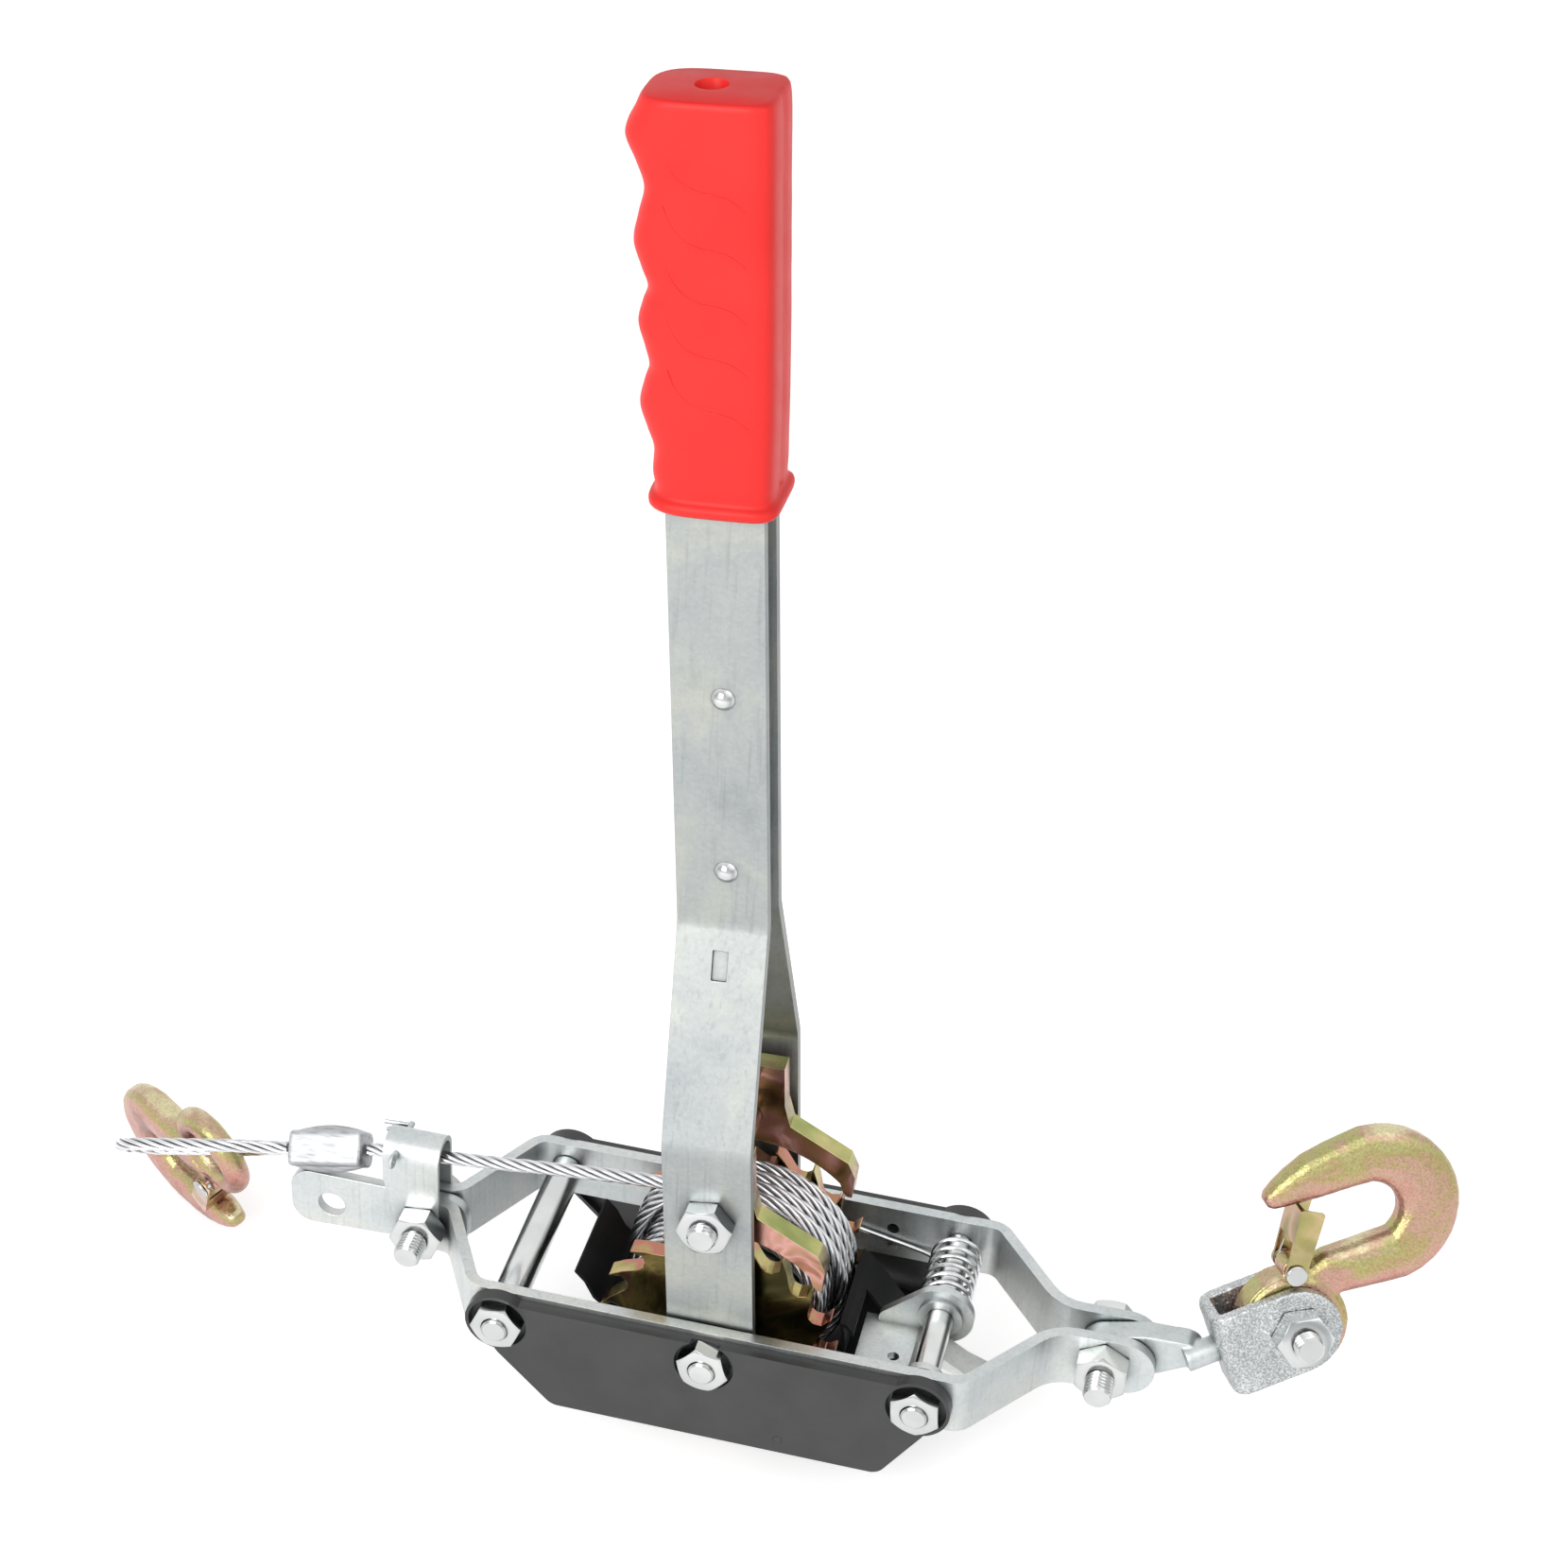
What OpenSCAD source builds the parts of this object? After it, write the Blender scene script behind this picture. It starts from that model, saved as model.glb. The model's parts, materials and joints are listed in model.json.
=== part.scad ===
// Hand-lever cable puller with twin ratchet wheels.
// The origin is the centre of the anchor hole, which holds the tool up.
// X runs along the pull toward the swivel hook, Y along the axle, Z up.
// Pieces are drawn about the axle centre and then moved by at_axle().

/* [Frame] */
// Thickness of each steel side bar
bar_thick = 4; // [3:0.5:5]
// Height of each side bar
bar_height = 22; // [20:1:24]
// Distance between the outer faces of the two side bars
bar_outer_span = 84; // [83:0.5:86]
// Distance from the axle to each spacer rod
rod_offset = 73; // [72:0.5:75]
// Diameter of the left spacer rod and of the axle
rod_diameter = 12; // [11:0.5:12]
// Diameter of the right spacer rod, which carries the holding pawl
pawl_rod_diameter = 9.4; // [9:0.1:9.6]
// Diameter of every large thread
thread_diameter = 10; // [9:0.5:10]
// Distance across the flats of the six nuts in the covers
frame_nut_flats = 16; // [15.5:0.5:17]
// Distance across the flats of the other bolts and nuts
nut_flats = 17; // [16:0.5:18]

/* [Covers and guard] */
// How far the side covers stand out of the bars
cover_depth = 4.6; // [4:0.2:5]
// Sheet thickness of the side covers
cover_sheet = 1.5; // [1.2:0.1:1.8]
// How far the side covers hang below the axle
cover_drop = 33; // [30:0.5:34]
// Inner radius of the trough under the drum
guard_radius = 43; // [42.6:0.2:43.6]
// Sheet thickness of the drum guard
guard_sheet = 1.2; // [1:0.1:1.4]

/* [Drum] */
// Number of teeth on each ratchet wheel
tooth_count = 18; // [16:1:20]
// Radius to the tips of the ratchet teeth
tooth_tip_radius = 41.5; // [41:0.1:41.6]
// Thickness of each ratchet wheel
wheel_thick = 6.5; // [6:0.5:7]
// Width of the drum between the ratchet wheels
drum_width = 42; // [41:0.5:42]
// Diameter of the steel cable
cable_diameter = 4.8; // [4.6:0.1:4.8]

/* [Handle] */
// Width of the two flat handle strips
strip_width = 30; // [28:1:32]
// Thickness of each handle strip
strip_thick = 4; // [3.5:0.5:4]
// Height of the top of the grip above the axle
handle_height = 427; // [410:1:440]
// Length of the moulded grip
grip_length = 124; // [120:1:124]
// How far the handle leans back toward the cable
handle_lean = 3.23; // [0:0.1:5]
// Distance from the axle to the drive pawl's pivot
drive_pivot_height = 55.5; // [55:0.5:56]

/* [Hooks] */
// Outer radius of each hook's eye
hook_eye_radius = 18.5; // [18:0.5:19]
// Thickness of the forged hooks
hook_thick = 12.6; // [12:0.2:12.8]
// Inner radius of the hook bowls
hook_bowl_radius = 9.7; // [9:0.1:10]
// Outer width of the swivel clevis
clevis_width = 22.2; // [22:0.2:23]

/* [View] */
// Sub-part to draw

/* [Hidden] */

$fn = 48;
zinc = [0.80, 0.81, 0.82];
gold = [0.80, 0.62, 0.40];
black = [0.08, 0.08, 0.09];
red = [0.72, 0.05, 0.07];
steel = [0.70, 0.71, 0.73];

fit = 0.05;       // radial clearance of a running fit
gap = 0.4;        // clearance between faces that only pass each other
cut = 0.5;        // how far a cutter runs past the face it opens

bar_out = bar_outer_span / 2;
bar_in = bar_out - bar_thick;
bar_mid = bar_out - bar_thick / 2;
rod_r = rod_diameter / 2;
pawl_rod_r = pawl_rod_diameter / 2;
thread_r = thread_diameter / 2;
nut_r = nut_flats / sqrt(3);
frame_nut_thick = 6.2;
cable_r = cable_diameter / 2;

// Distance from the middle plane to the middle of each handle strip beside the drum
strip_low = bar_in - 1 - strip_thick / 2;

// Hole in the anchor plate, measured from the axle centre
anchor_hole = [-149.7, -3];
anchor_hole_r = 5;

// Side bar ends, measured from the axle: half gaps and centres of the end bolts
right_end_x = 148;
right_bolt = [130.5, 1];
right_half_gap = 4.6;
left_end_x = 125;
left_bolt = [-113.6, 0.5];
left_half_gap = 2.1;

// ---------- helpers ----------

// Unit vector of v
function unit(v) = v / norm(v);

// Direction in the XZ plane at an angle up from +X
function polar(r, a) = [r * cos(a), r * sin(a)];

// Points of a planar line with each inner corner rounded to its own radius
function rounded(p, radii) = [p[0],
    for (i = [1:len(p) - 2])
        let (r = radii[i - 1], a = unit(p[i - 1] - p[i]), b = unit(p[i + 1] - p[i]),
             half = acos(a * b) / 2, reach = r / tan(half),
             c = p[i] + unit(a + b) * r / sin(half),
             s = p[i] + a * reach - c, e = p[i] + b * reach - c)
        for (k = [0:4]) c + r * unit(s * (4 - k) + e * k),
    p[len(p) - 1]];

// Left-hand normal of a planar line at point i
function side_of(p, i) =
    let (d = unit(p[min(i + 1, len(p) - 1)] - p[max(i - 1, 0)])) [-d[1], d[0]];

// Closed outline of a sheet of thickness t centred on line p
function sheet_outline(p, t) = concat(
    [for (i = [0:len(p) - 1]) p[i] + side_of(p, i) * t / 2],
    [for (i = [len(p) - 1:-1:0]) p[i] - side_of(p, i) * t / 2]);

// Move a piece drawn about the axle centre to its place
module at_axle() translate([-anchor_hole[0], 0, -anchor_hole[1]]) children();

// Plate with an outline in XZ, between two heights along Y
module plate_y(y0, y1) {
    translate([0, y1, 0]) rotate([90, 0, 0]) linear_extrude(y1 - y0) children();
}

// Round bar along Y
module pin_y(x, z, r, y0, y1, sides = 48) {
    translate([x, y1, z]) rotate([90, 0, 0]) cylinder(r = r, h = y1 - y0, $fn = sides);
}

// Solid through a list of rings of points, every ring turning the same way
module loft(rings) {
    n = len(rings[0]);
    m = len(rings);
    polyhedron(points = [for (r = rings) each r],
        faces = [
            for (i = [1:n - 2]) [0, i, i + 1],
            for (i = [1:n - 2]) [(m - 1) * n, (m - 1) * n + i + 1, (m - 1) * n + i],
            for (j = [0:m - 2]) for (i = [0:n - 1]) let (k = (i + 1) % n)
                each [[j * n + i, (j + 1) * n + i, (j + 1) * n + k],
                      [j * n + i, (j + 1) * n + k, j * n + k]]]);
}

// Direction of travel of a path of points at point i
function tangent(p, i) = unit(p[min(i + 1, len(p) - 1)] - p[max(i - 1, 0)]);

// Rings of a round tube along path p; up is never along the path
function tube_rings(p, r, up, sides) = [for (i = [0:len(p) - 1])
    let (t = tangent(p, i), u = unit(cross(up, t)), v = cross(t, u))
    [for (k = [0:sides - 1]) p[i] + r * (cos(360 * k / sides) * u + sin(360 * k / sides) * v)]];

// Point on a squared-off oval with half sizes a and b
function oval(a, b, t, power) =
    [a * sign(cos(t)) * pow(abs(cos(t)), 2 / power), b * sign(sin(t)) * pow(abs(sin(t)), 2 / power)];

// Helix about Y: centre [x, z], radius, from y0 to y1 over turns, starting at angle a0
function helix_y(c, r, y0, y1, turns, a0, rings_per_turn) =
    let (steps = ceil(abs(turns) * rings_per_turn))
    [for (i = [0:steps]) let (a = a0 + 360 * turns * i / steps)
        [c[0] + r * cos(a), y0 + (y1 - y0) * i / steps, c[1] + r * sin(a)]];

// Hexagon nut along Y with its bore
module nut_y(x, z, y0, y1, flats, bore) {
    difference() {
        pin_y(x, z, flats / sqrt(3), y0, y1, 6);
        pin_y(x, z, bore, y0 - cut, y1 + cut);
    }
}

// ---------- frame ----------

// Middle line of a side bar in the XY plane, for the rear (+Y) bar
bar_line = rounded([
    [-left_end_x, left_half_gap + bar_thick / 2],
    [-103, left_half_gap + bar_thick / 2],
    [-83.5, bar_mid],
    [87, bar_mid],
    [113, right_half_gap + bar_thick / 2],
    [right_end_x, right_half_gap + bar_thick / 2]], [6.5, 7, 7, 16]);

// Outline of a side bar seen along Y, with round ends
module bar_side_outline() {
    hull() {
        translate([right_end_x - bar_height / 2, right_bolt[1]]) circle(d = bar_height);
        translate([bar_in * 2, -bar_height / 2]) square([1, bar_height]);
    }
    translate([-left_end_x + 6, -bar_height / 2]) square([left_end_x + bar_in * 2 - 5, bar_height]);
    translate([-left_end_x + 6, bar_height / 2 - 6]) circle(r = 6);
    translate([-left_end_x + 6, -bar_height / 2 + 6]) circle(r = 6);
    translate([-left_end_x, -bar_height / 2 + 6]) square([6, bar_height - 12]);
}

// Holes that both side bars share, at [x, z, radius]
bar_holes = [[0, 0, thread_r], [-rod_offset, 0, thread_r], [rod_offset, 0, thread_r],
    [left_bolt[0], left_bolt[1], thread_r], [right_bolt[0], right_bolt[1], thread_r]];
spare_hole = [48.6, 1.7, 2.2];
pin_hole = [49.2, -6.3, 1.5];

module side_bar() {
    difference() {
        intersection() {
            translate([0, 0, -20]) linear_extrude(40) polygon(sheet_outline(bar_line, bar_thick));
            plate_y(-1, bar_out + 1) bar_side_outline();
        }
        for (h = bar_holes) pin_y(h[0], h[1], h[2] + fit, -1, bar_out + 1);
        for (h = [spare_hole, pin_hole]) pin_y(h[0], h[1], h[2] + fit, 30, bar_out + 1);
    }
}

module front_side_bar() at_axle() color(zinc) mirror([0, 1, 0]) side_bar();
module rear_side_bar() at_axle() color(zinc) side_bar();

// Side cover: a pressed shell with dished recesses round the three nuts
cover_front = bar_out + cover_depth;
guard_rivet = [27, -27];
guard_rivet_r = 1.6;
dish_r = 10.3;
cover_end_r = 11.6;

module cover_outline(shrink) {
    hull() {
        translate([-51, -cover_drop + 6]) circle(r = 6 - shrink);
        translate([59, -cover_drop + 6]) circle(r = 6 - shrink);
        translate([-rod_offset + 6, -8]) circle(r = 8 - shrink);
        translate([rod_offset - 4, -8]) circle(r = 8 - shrink);
        translate([-rod_offset + 6, 1]) circle(r = 8 - shrink);
        translate([rod_offset - 4, 1]) circle(r = 8 - shrink);
    }
    for (s = [-1, 1]) translate([s * rod_offset, 0]) circle(r = cover_end_r - shrink);
}

module side_cover() {
    difference() {
        plate_y(bar_out, cover_front) cover_outline(0);
        difference() {
            plate_y(bar_out - cut, cover_front - cover_sheet) cover_outline(cover_sheet);
            for (x = [-rod_offset, 0, rod_offset])
                pin_y(x, 0, dish_r + cover_sheet, bar_out - 1, cover_front);
            pin_y(guard_rivet[0], guard_rivet[1], 4, bar_out - 1, cover_front);
        }
        for (x = [-rod_offset, 0, rod_offset]) {
            pin_y(x, 0, dish_r, bar_out + cover_sheet, cover_front + cut);
            pin_y(x, 0, thread_r + fit, bar_out - cut, cover_front + cut);
        }
        pin_y(guard_rivet[0], guard_rivet[1], guard_rivet_r + fit, bar_out - cut, cover_front + cut);
    }
}

module front_cover() at_axle() color(black) mirror([0, 1, 0]) side_cover();
module rear_cover() at_axle() color(black) side_cover();

// Drum guard: a bent trough between the wheels with a pan on its right, hung from both covers
guard_half = drum_width / 2 - 1.4;
guard_line = concat(
    [[-53, 5.6], [-49.3, 1.6], [-46, -5]],
    [for (a = [190:10:350]) polar(guard_radius + guard_sheet / 2, a)],
    [[42.7, 0], [41.6, 6], [42.8, 5.6], [49, -1.5], [57, -12]]);
guard_pan = [polar(guard_radius + guard_sheet / 2, -35), [46, -27.8], [60, -30]];
guard_arm_angle = -50;

module drum_guard() at_axle() color(black) {
    arm = polar(guard_radius + guard_sheet / 2, guard_arm_angle);
    difference() {
        union() {
            plate_y(-guard_half, guard_half) polygon(sheet_outline(guard_line, guard_sheet));
            plate_y(-bar_out + guard_sheet, bar_out - guard_sheet) {
                translate(arm) rotate(guard_arm_angle) square([guard_sheet, 9], center = true);
                polygon(sheet_outline(guard_pan, guard_sheet));
            }
            for (s = [0, 1]) mirror([0, s, 0]) plate_y(bar_out - guard_sheet, bar_out) hull() {
                translate(arm) rotate(guard_arm_angle) square([guard_sheet, 9], center = true);
                translate(guard_rivet) circle(r = 4);
            }
        }
        pin_y(guard_rivet[0], guard_rivet[1], guard_rivet_r + fit, -bar_out - 1, bar_out + 1);
        translate([46, -guard_half - 1, -20]) cube([20, guard_half + 1 + pawl_ear[1] + gap, 24]);
    }
}

module guard_rivets() at_axle() color(black) for (s = [0, 1]) mirror([0, s, 0]) {
    pin_y(guard_rivet[0], guard_rivet[1], guard_rivet_r, bar_out - 2.4, cover_front);
    pin_y(guard_rivet[0], guard_rivet[1], guard_rivet_r + 1, bar_out - 2.4, bar_out - guard_sheet);
}

// Rods with threaded ends: the body spans the bars and the nuts sit in the dishes
thread_end = bar_out + cover_sheet + frame_nut_thick + 1.4;
thread_runout = 2;

module threaded_rod(x, r) {
    pin_y(x, 0, r, -bar_in, bar_in);
    for (s = [0, 1]) mirror([0, s, 0]) pin_y(x, 0, thread_r, bar_in - thread_runout, thread_end);
}

module axle_rod() at_axle() color(steel) threaded_rod(0, rod_r);
module left_spacer_rod() at_axle() color(zinc) threaded_rod(-rod_offset, rod_r);
module right_spacer_rod() at_axle() color(zinc) threaded_rod(rod_offset, pawl_rod_r);

module frame_nuts() at_axle() color(zinc) for (s = [0, 1]) mirror([0, s, 0])
    for (x = [-rod_offset, 0, rod_offset])
        nut_y(x, 0, bar_out + cover_sheet, bar_out + cover_sheet + frame_nut_thick,
            frame_nut_flats, thread_r + fit);

// ---------- left end ----------

plate_half = left_half_gap - 0.1;

module anchor_plate() at_axle() color(zinc) difference() {
    plate_y(-plate_half, plate_half) hull() {
        translate([-157, 2.6]) circle(r = 8);
        translate([-157, -5]) circle(r = 8);
        translate([-106, 2]) circle(r = 8);
        translate([-106, -3]) circle(r = 8);
    }
    pin_y(anchor_hole[0], anchor_hole[1], anchor_hole_r, -5, 5);
    pin_y(left_bolt[0], left_bolt[1], thread_r + fit, -5, 5);
}

strap_thick = 1.8;
strap_in = left_half_gap + bar_thick;
strap_out = strap_in + strap_thick;
strap_top = 28;
strap_x = [-127.5, -107];
cotter = [-122.5, 31.5];
cotter_r = 1.1;

module strap_side_outline() {
    hull() {
        translate(left_bolt) circle(r = 9.5);
        translate([strap_x[0], 20]) square([strap_x[1] - strap_x[0], 1]);
    }
    translate([strap_x[0], 20]) square([strap_x[1] - strap_x[0], 20]);
}

module cable_guide_strap() at_axle() color(zinc) difference() {
    intersection() {
        translate([strap_x[0], 0, 0]) rotate([90, 0, 90]) linear_extrude(strap_x[1] - strap_x[0])
            difference() {
                union() {
                    translate([0, strap_top]) circle(r = strap_out);
                    translate([-strap_out, -12]) square([2 * strap_out, 12 + strap_top]);
                }
                translate([0, strap_top]) circle(r = strap_in);
                translate([-strap_in, -13]) square([2 * strap_in, 13 + strap_top]);
            }
        plate_y(-strap_out - 1, strap_out + 1) strap_side_outline();
    }
    pin_y(left_bolt[0], left_bolt[1], thread_r + fit, -20, 20);
    pin_y(cotter[0], cotter[1], cotter_r + fit, -20, 20);
}

bolt_end = 25;
end_nut_thick = 8;
head_thick = 6.4;

// Hexagon bolt along Y: head on the rear face, thread end in front
module end_bolt(p, head_face) {
    pin_y(p[0], p[1], thread_r, -bolt_end, head_face);
    pin_y(p[0], p[1], nut_r, head_face, head_face + head_thick, 6);
}

module left_end_bolt() at_axle() color(zinc) end_bolt(left_bolt, strap_out);
module left_end_nut() at_axle() color(zinc)
    nut_y(left_bolt[0], left_bolt[1], -strap_out - end_nut_thick, -strap_out, nut_flats, thread_r + fit);

// Split pin above the cable, its legs bent back past the strap
module cotter_pin() at_axle() color(zinc) {
    pin_y(cotter[0], cotter[1], cotter_r, -strap_out - 2.2, strap_out + 2.4, 16);
    translate([cotter[0], -strap_out - 3.2, cotter[1]]) rotate([0, 90, 0])
        rotate_extrude($fn = 20) translate([2, 0]) circle(r = 0.8, $fn = 10);
    for (a = [-4, -24]) translate([cotter[0], strap_out + 1.6, cotter[1]])
        rotate([0, -90 + a, 0]) cylinder(r = 0.8, h = 10, $fn = 12);
}

// ---------- right end ----------

right_face = right_half_gap + bar_thick;
module right_end_bolt() at_axle() color(zinc) end_bolt(right_bolt, right_face);
module right_end_nut() at_axle() color(zinc)
    nut_y(right_bolt[0], right_bolt[1], -right_face - end_nut_thick, -right_face, nut_flats, thread_r + fit);

// ---------- holding pawl on the right rod ----------

// Reach of the pawl's two ears along Y: the small front one and the large one
pawl_front_ear = [-34, -31];
pawl_ear = [0, 3];
pawl_lever_y = [-13, -2];

module holding_pawl() at_axle() color(zinc) difference() {
    union() {
        plate_y(pawl_ear[0], pawl_ear[1]) hull() {
            translate([rod_offset, 0]) circle(r = 11.6);
            translate([56, -6]) circle(r = 4.5);
        }
        pin_y(rod_offset, 0, 7.8, pawl_ear[0] - 1.4, pawl_ear[1]);
        plate_y(pawl_front_ear[0], pawl_front_ear[1]) hull() {
            translate([rod_offset, 0]) circle(r = 7.4);
            translate([63, -8.9]) circle(r = 1.5);
        }
        plate_y(pawl_front_ear[0], pawl_ear[1])
            polygon([[68, -4.5], [66, -7.4], [47, -7.4], [47, -10.4], [66, -10.4], [70, -8]]);
        plate_y(-30, -guard_half - 0.8) polygon([[52, -7.4], [46, -7.4], [41.4, -9],
            [42.3, -13.4], [46, -13.4], [52, -10.4]]);
        plate_y(pawl_lever_y[0], pawl_lever_y[1]) polygon([[66, -7.4], [76, -6.5], [84, -11.5], [97, -16.6],
            [99.2, -20.4], [97.6, -21.3], [95.4, -18.6], [83, -14], [74, -10.2], [66, -10.4]]);
    }
    pin_y(rod_offset, 0, pawl_rod_r + fit, -bar_out, bar_out);
    translate([60, -16, -20]) cylinder(r = 2, h = 20, $fn = 24);
}

// Torsion spring on the rear half of the right rod
spring_wire_r = 0.8;
spring_r = 8.4;
spring_curls = 6.5;
spring_line = concat(
    helix_y([rod_offset, 0], spring_r, pawl_ear[1] + 1.4, 34.2, -spring_curls, 60, 8),
    [[64.6, 35.4, -5.6], [60, 36.5, -4.9], [53, 36.8, -3.5], [44, 36.8, -1.6], [35, 36.8, 0.4]]);

module holding_pawl_spring() at_axle() color(steel) loft(tube_rings(spring_line, spring_wire_r, [0.1, 1, 0.2], 6));

module spring_pin() at_axle() color(zinc)
    pin_y(pin_hole[0], pin_hole[1], pin_hole[2], bar_in - 1.6, bar_out, 20);

// ---------- drum ----------

wheel_in = drum_width / 2;
wheel_out = wheel_in + wheel_thick;
hub_r = 13;
hub_end = strip_low - strip_thick / 2 - 0.6;
axle_bore_r = rod_r + fit;
tooth_pitch = 360 / tooth_count;
root_radius = tooth_tip_radius - 7.6;

// Hooked teeth that face the way the drum turns when the cable pulls
module ratchet_outline() {
    polygon([for (k = [0:tooth_count - 1]) let (a = k * tooth_pitch)
        each [polar(root_radius + 0.6, a - 0.72 * tooth_pitch),
            polar(tooth_tip_radius - 2.9, a - 0.32 * tooth_pitch),
            polar(tooth_tip_radius, a - 0.05 * tooth_pitch),
            polar(tooth_tip_radius, a),
            polar(tooth_tip_radius - 3.9, a - 0.16 * tooth_pitch),
            polar(root_radius + 1, a - 0.07 * tooth_pitch),
            polar(root_radius, a + 0.1 * tooth_pitch)]]);
}

module ratchet_wheel() difference() {
    plate_y(wheel_in, wheel_out) ratchet_outline();
    pin_y(0, 0, hub_r + fit, wheel_in - cut, wheel_out + cut);
}

module rear_ratchet_wheel() at_axle() color(zinc) ratchet_wheel();
module front_ratchet_wheel() at_axle() color(zinc) mirror([0, 1, 0]) ratchet_wheel();

// Winding: one full layer, a step up at the rear wheel, then back to the middle
wind_pitch = cable_diameter + 0.55;
wind_tube_r = cable_r - 0.02;
layer_1 = 32.5;
layer_2 = layer_1 + cable_diameter + 0.5;
wind_edge = wheel_in - cable_r - 1.4;
layer_1_turns = 2 * wind_edge / wind_pitch;
step_turns = 0.25;
layer_2_turns = wind_edge / wind_pitch;
wind_turns = layer_1_turns + step_turns + layer_2_turns;
wind_end_angle = 90;
rings_per_turn = 24;
core_r = layer_1 - cable_r - 0.5;

// Point of the winding after n turns; the drum top runs toward +X as it winds in
function wind_point(n) =
    let (a = wind_end_angle - 360 * (wind_turns - n),
         r = layer_1 + (layer_2 - layer_1) * max(0, min(1, (n - layer_1_turns) / step_turns)),
         y = n < layer_1_turns ? -wind_edge + wind_pitch * n
           : wind_edge - wind_pitch * max(0, n - layer_1_turns - step_turns))
    [r * cos(a), y, r * sin(a)];
wind_steps = ceil(wind_turns * rings_per_turn);
wind_path = [for (i = [0:wind_steps]) wind_point(wind_turns * i / wind_steps)];
wind_line = concat(wind_path, [wind_path[wind_steps] + [-cable_diameter, 0, 0]]);

// Least clear distance between points of the winding at least half a turn apart
wind_gap = min([for (i = [0:2:wind_steps - 12]) for (j = [i + 12:wind_steps])
    norm(wind_path[i] - wind_path[j])]) - 2 * wind_tube_r;
echo(winding_gap = wind_gap);

module cable_winding() at_axle() color(steel) loft(tube_rings(wind_line, wind_tube_r, [0, 1, 0], 6));

module drum_core() at_axle() color(zinc) difference() {
    union() {
        pin_y(0, 0, core_r, -wheel_in, wheel_in, 64);
        pin_y(0, 0, hub_r, -hub_end, hub_end);
    }
    pin_y(0, 0, axle_bore_r, -hub_end - cut, hub_end + cut);
}

// ---------- cable ----------

// Free stretch from the top of the drum to the ferrule
ferrule_end = [-164.5, 0, 18.1];
loop_dir = unit([-0.9756, 0, -0.2196]);
ferrule_length = 30;
ferrule_start = ferrule_end - ferrule_length * loop_dir;
cable_line = [[-24, 0, 36.2], [-30, 0, 35.9], [-39, 0, 35.3], [-48, 0, 34.5], [-57, 0, 33.6],
    [-66, 0, 32.5], [-75, 0, 31.5], [-84, 0, 30.4], [-93, 0, 29.4], [-102, 0, 28.5],
    [-111, 0, 27.4], [-120, 0, 26.3], [-127, 0, 25.4],
    ferrule_start - 3 * loop_dir, ferrule_start];

module free_cable() at_axle() color(steel) loft(tube_rings(cable_line, cable_r, [0, 1, 0], 10));

// The loop lies in a plane that holds loop_dir and loop_side
loop_up = unit(cross([0, 0.733, -0.68], loop_dir));
loop_side = cross(loop_dir, loop_up);
loop_half = 11.5;
loop_neck = cable_r + 0.3;
loop_length = 67.5;
function loop_point(a, s) = ferrule_end + a * loop_dir + s * loop_side;
loop_arm = [[0, loop_neck], [4, loop_neck], [8, 4], [12, 6.1], [16, 8.4], [20, 10.3], [24, 11.3],
    [29, loop_half], [37, loop_half], [45, loop_half], [52, loop_half]];
loop_line = concat(
    [for (p = loop_arm) loop_point(p[0], -p[1])],
    [for (t = [-90:15:90]) loop_point(loop_length - loop_half + loop_half * cos(t), loop_half * sin(t))],
    [for (i = [len(loop_arm) - 1:-1:0]) loop_point(loop_arm[i][0], loop_arm[i][1])]);

module cable_loop() at_axle() color(steel) loft(tube_rings(loop_line, cable_r, loop_up, 10));

// Pressed aluminium ferrule, oval with flattened bands, and the cut cable end behind it
ferrule_stations = [[0, 0.84], [2, 0.95], [6, 1], [24, 1], [28, 0.95], [30, 0.84]];

module cable_ferrule() at_axle() color(zinc) {
    loft([for (f = ferrule_stations)
        [for (k = [0:19]) let (o = oval(8.8, 6.8, 18 * k, 2.5))
            ferrule_start + f[0] * loop_dir + f[1] * (o[0] * loop_up + o[1] * loop_side)]]);
    loft(tube_rings([ferrule_start + loop_side * 4.75 - loop_dir * 3.4,
        ferrule_start + loop_side * 4.75 + loop_dir * 4], cable_r - 0.4, [0, 1, 0], 8));
}

// ---------- handle ----------

strip_high = 7.5;
strip_end = handle_height - 20;
fold_low = 84;
fold_high = 156;
strip_line = rounded([[strip_low, -16], [strip_low, fold_low], [strip_high, fold_high],
    [strip_high, strip_end]], [12, 12]);
strip_slope = atan((strip_low - strip_high) / (fold_high - fold_low));
dimple_z = 143;
dimple_size = [5, 2, 10];
rivet_heights = [177, 240];
rivet_shift = 1.5;

// Turn a piece drawn upright about the axle to the handle's resting lean
module leaned() rotate([0, -handle_lean, 0]) children();

module handle_strip() difference() {
    intersection() {
        translate([-strip_width / 2, 0, 0]) rotate([90, 0, 90]) linear_extrude(strip_width)
            polygon(sheet_outline(strip_line, strip_thick));
        plate_y(0, 40) union() {
            circle(d = strip_width);
            translate([-strip_width / 2, 0]) square([strip_width, strip_end + 1]);
        }
    }
    pin_y(0, 0, rod_r + fit, 0, 50);
    pin_y(0, drive_pivot_height, thread_r + fit, 0, 50);
    for (z = rivet_heights) pin_y(rivet_shift, z, 2.6 + fit, 0, 50, 24);
    translate([0, strip_high + (fold_high - dimple_z) * tan(strip_slope), dimple_z])
        rotate([strip_slope, 0, 0]) translate([0, strip_thick / 2, 0]) cube(dimple_size, center = true);
}

module rear_handle_strip() at_axle() color(zinc) leaned() handle_strip();
module front_handle_strip() at_axle() color(zinc) leaned() mirror([0, 1, 0]) handle_strip();

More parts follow.
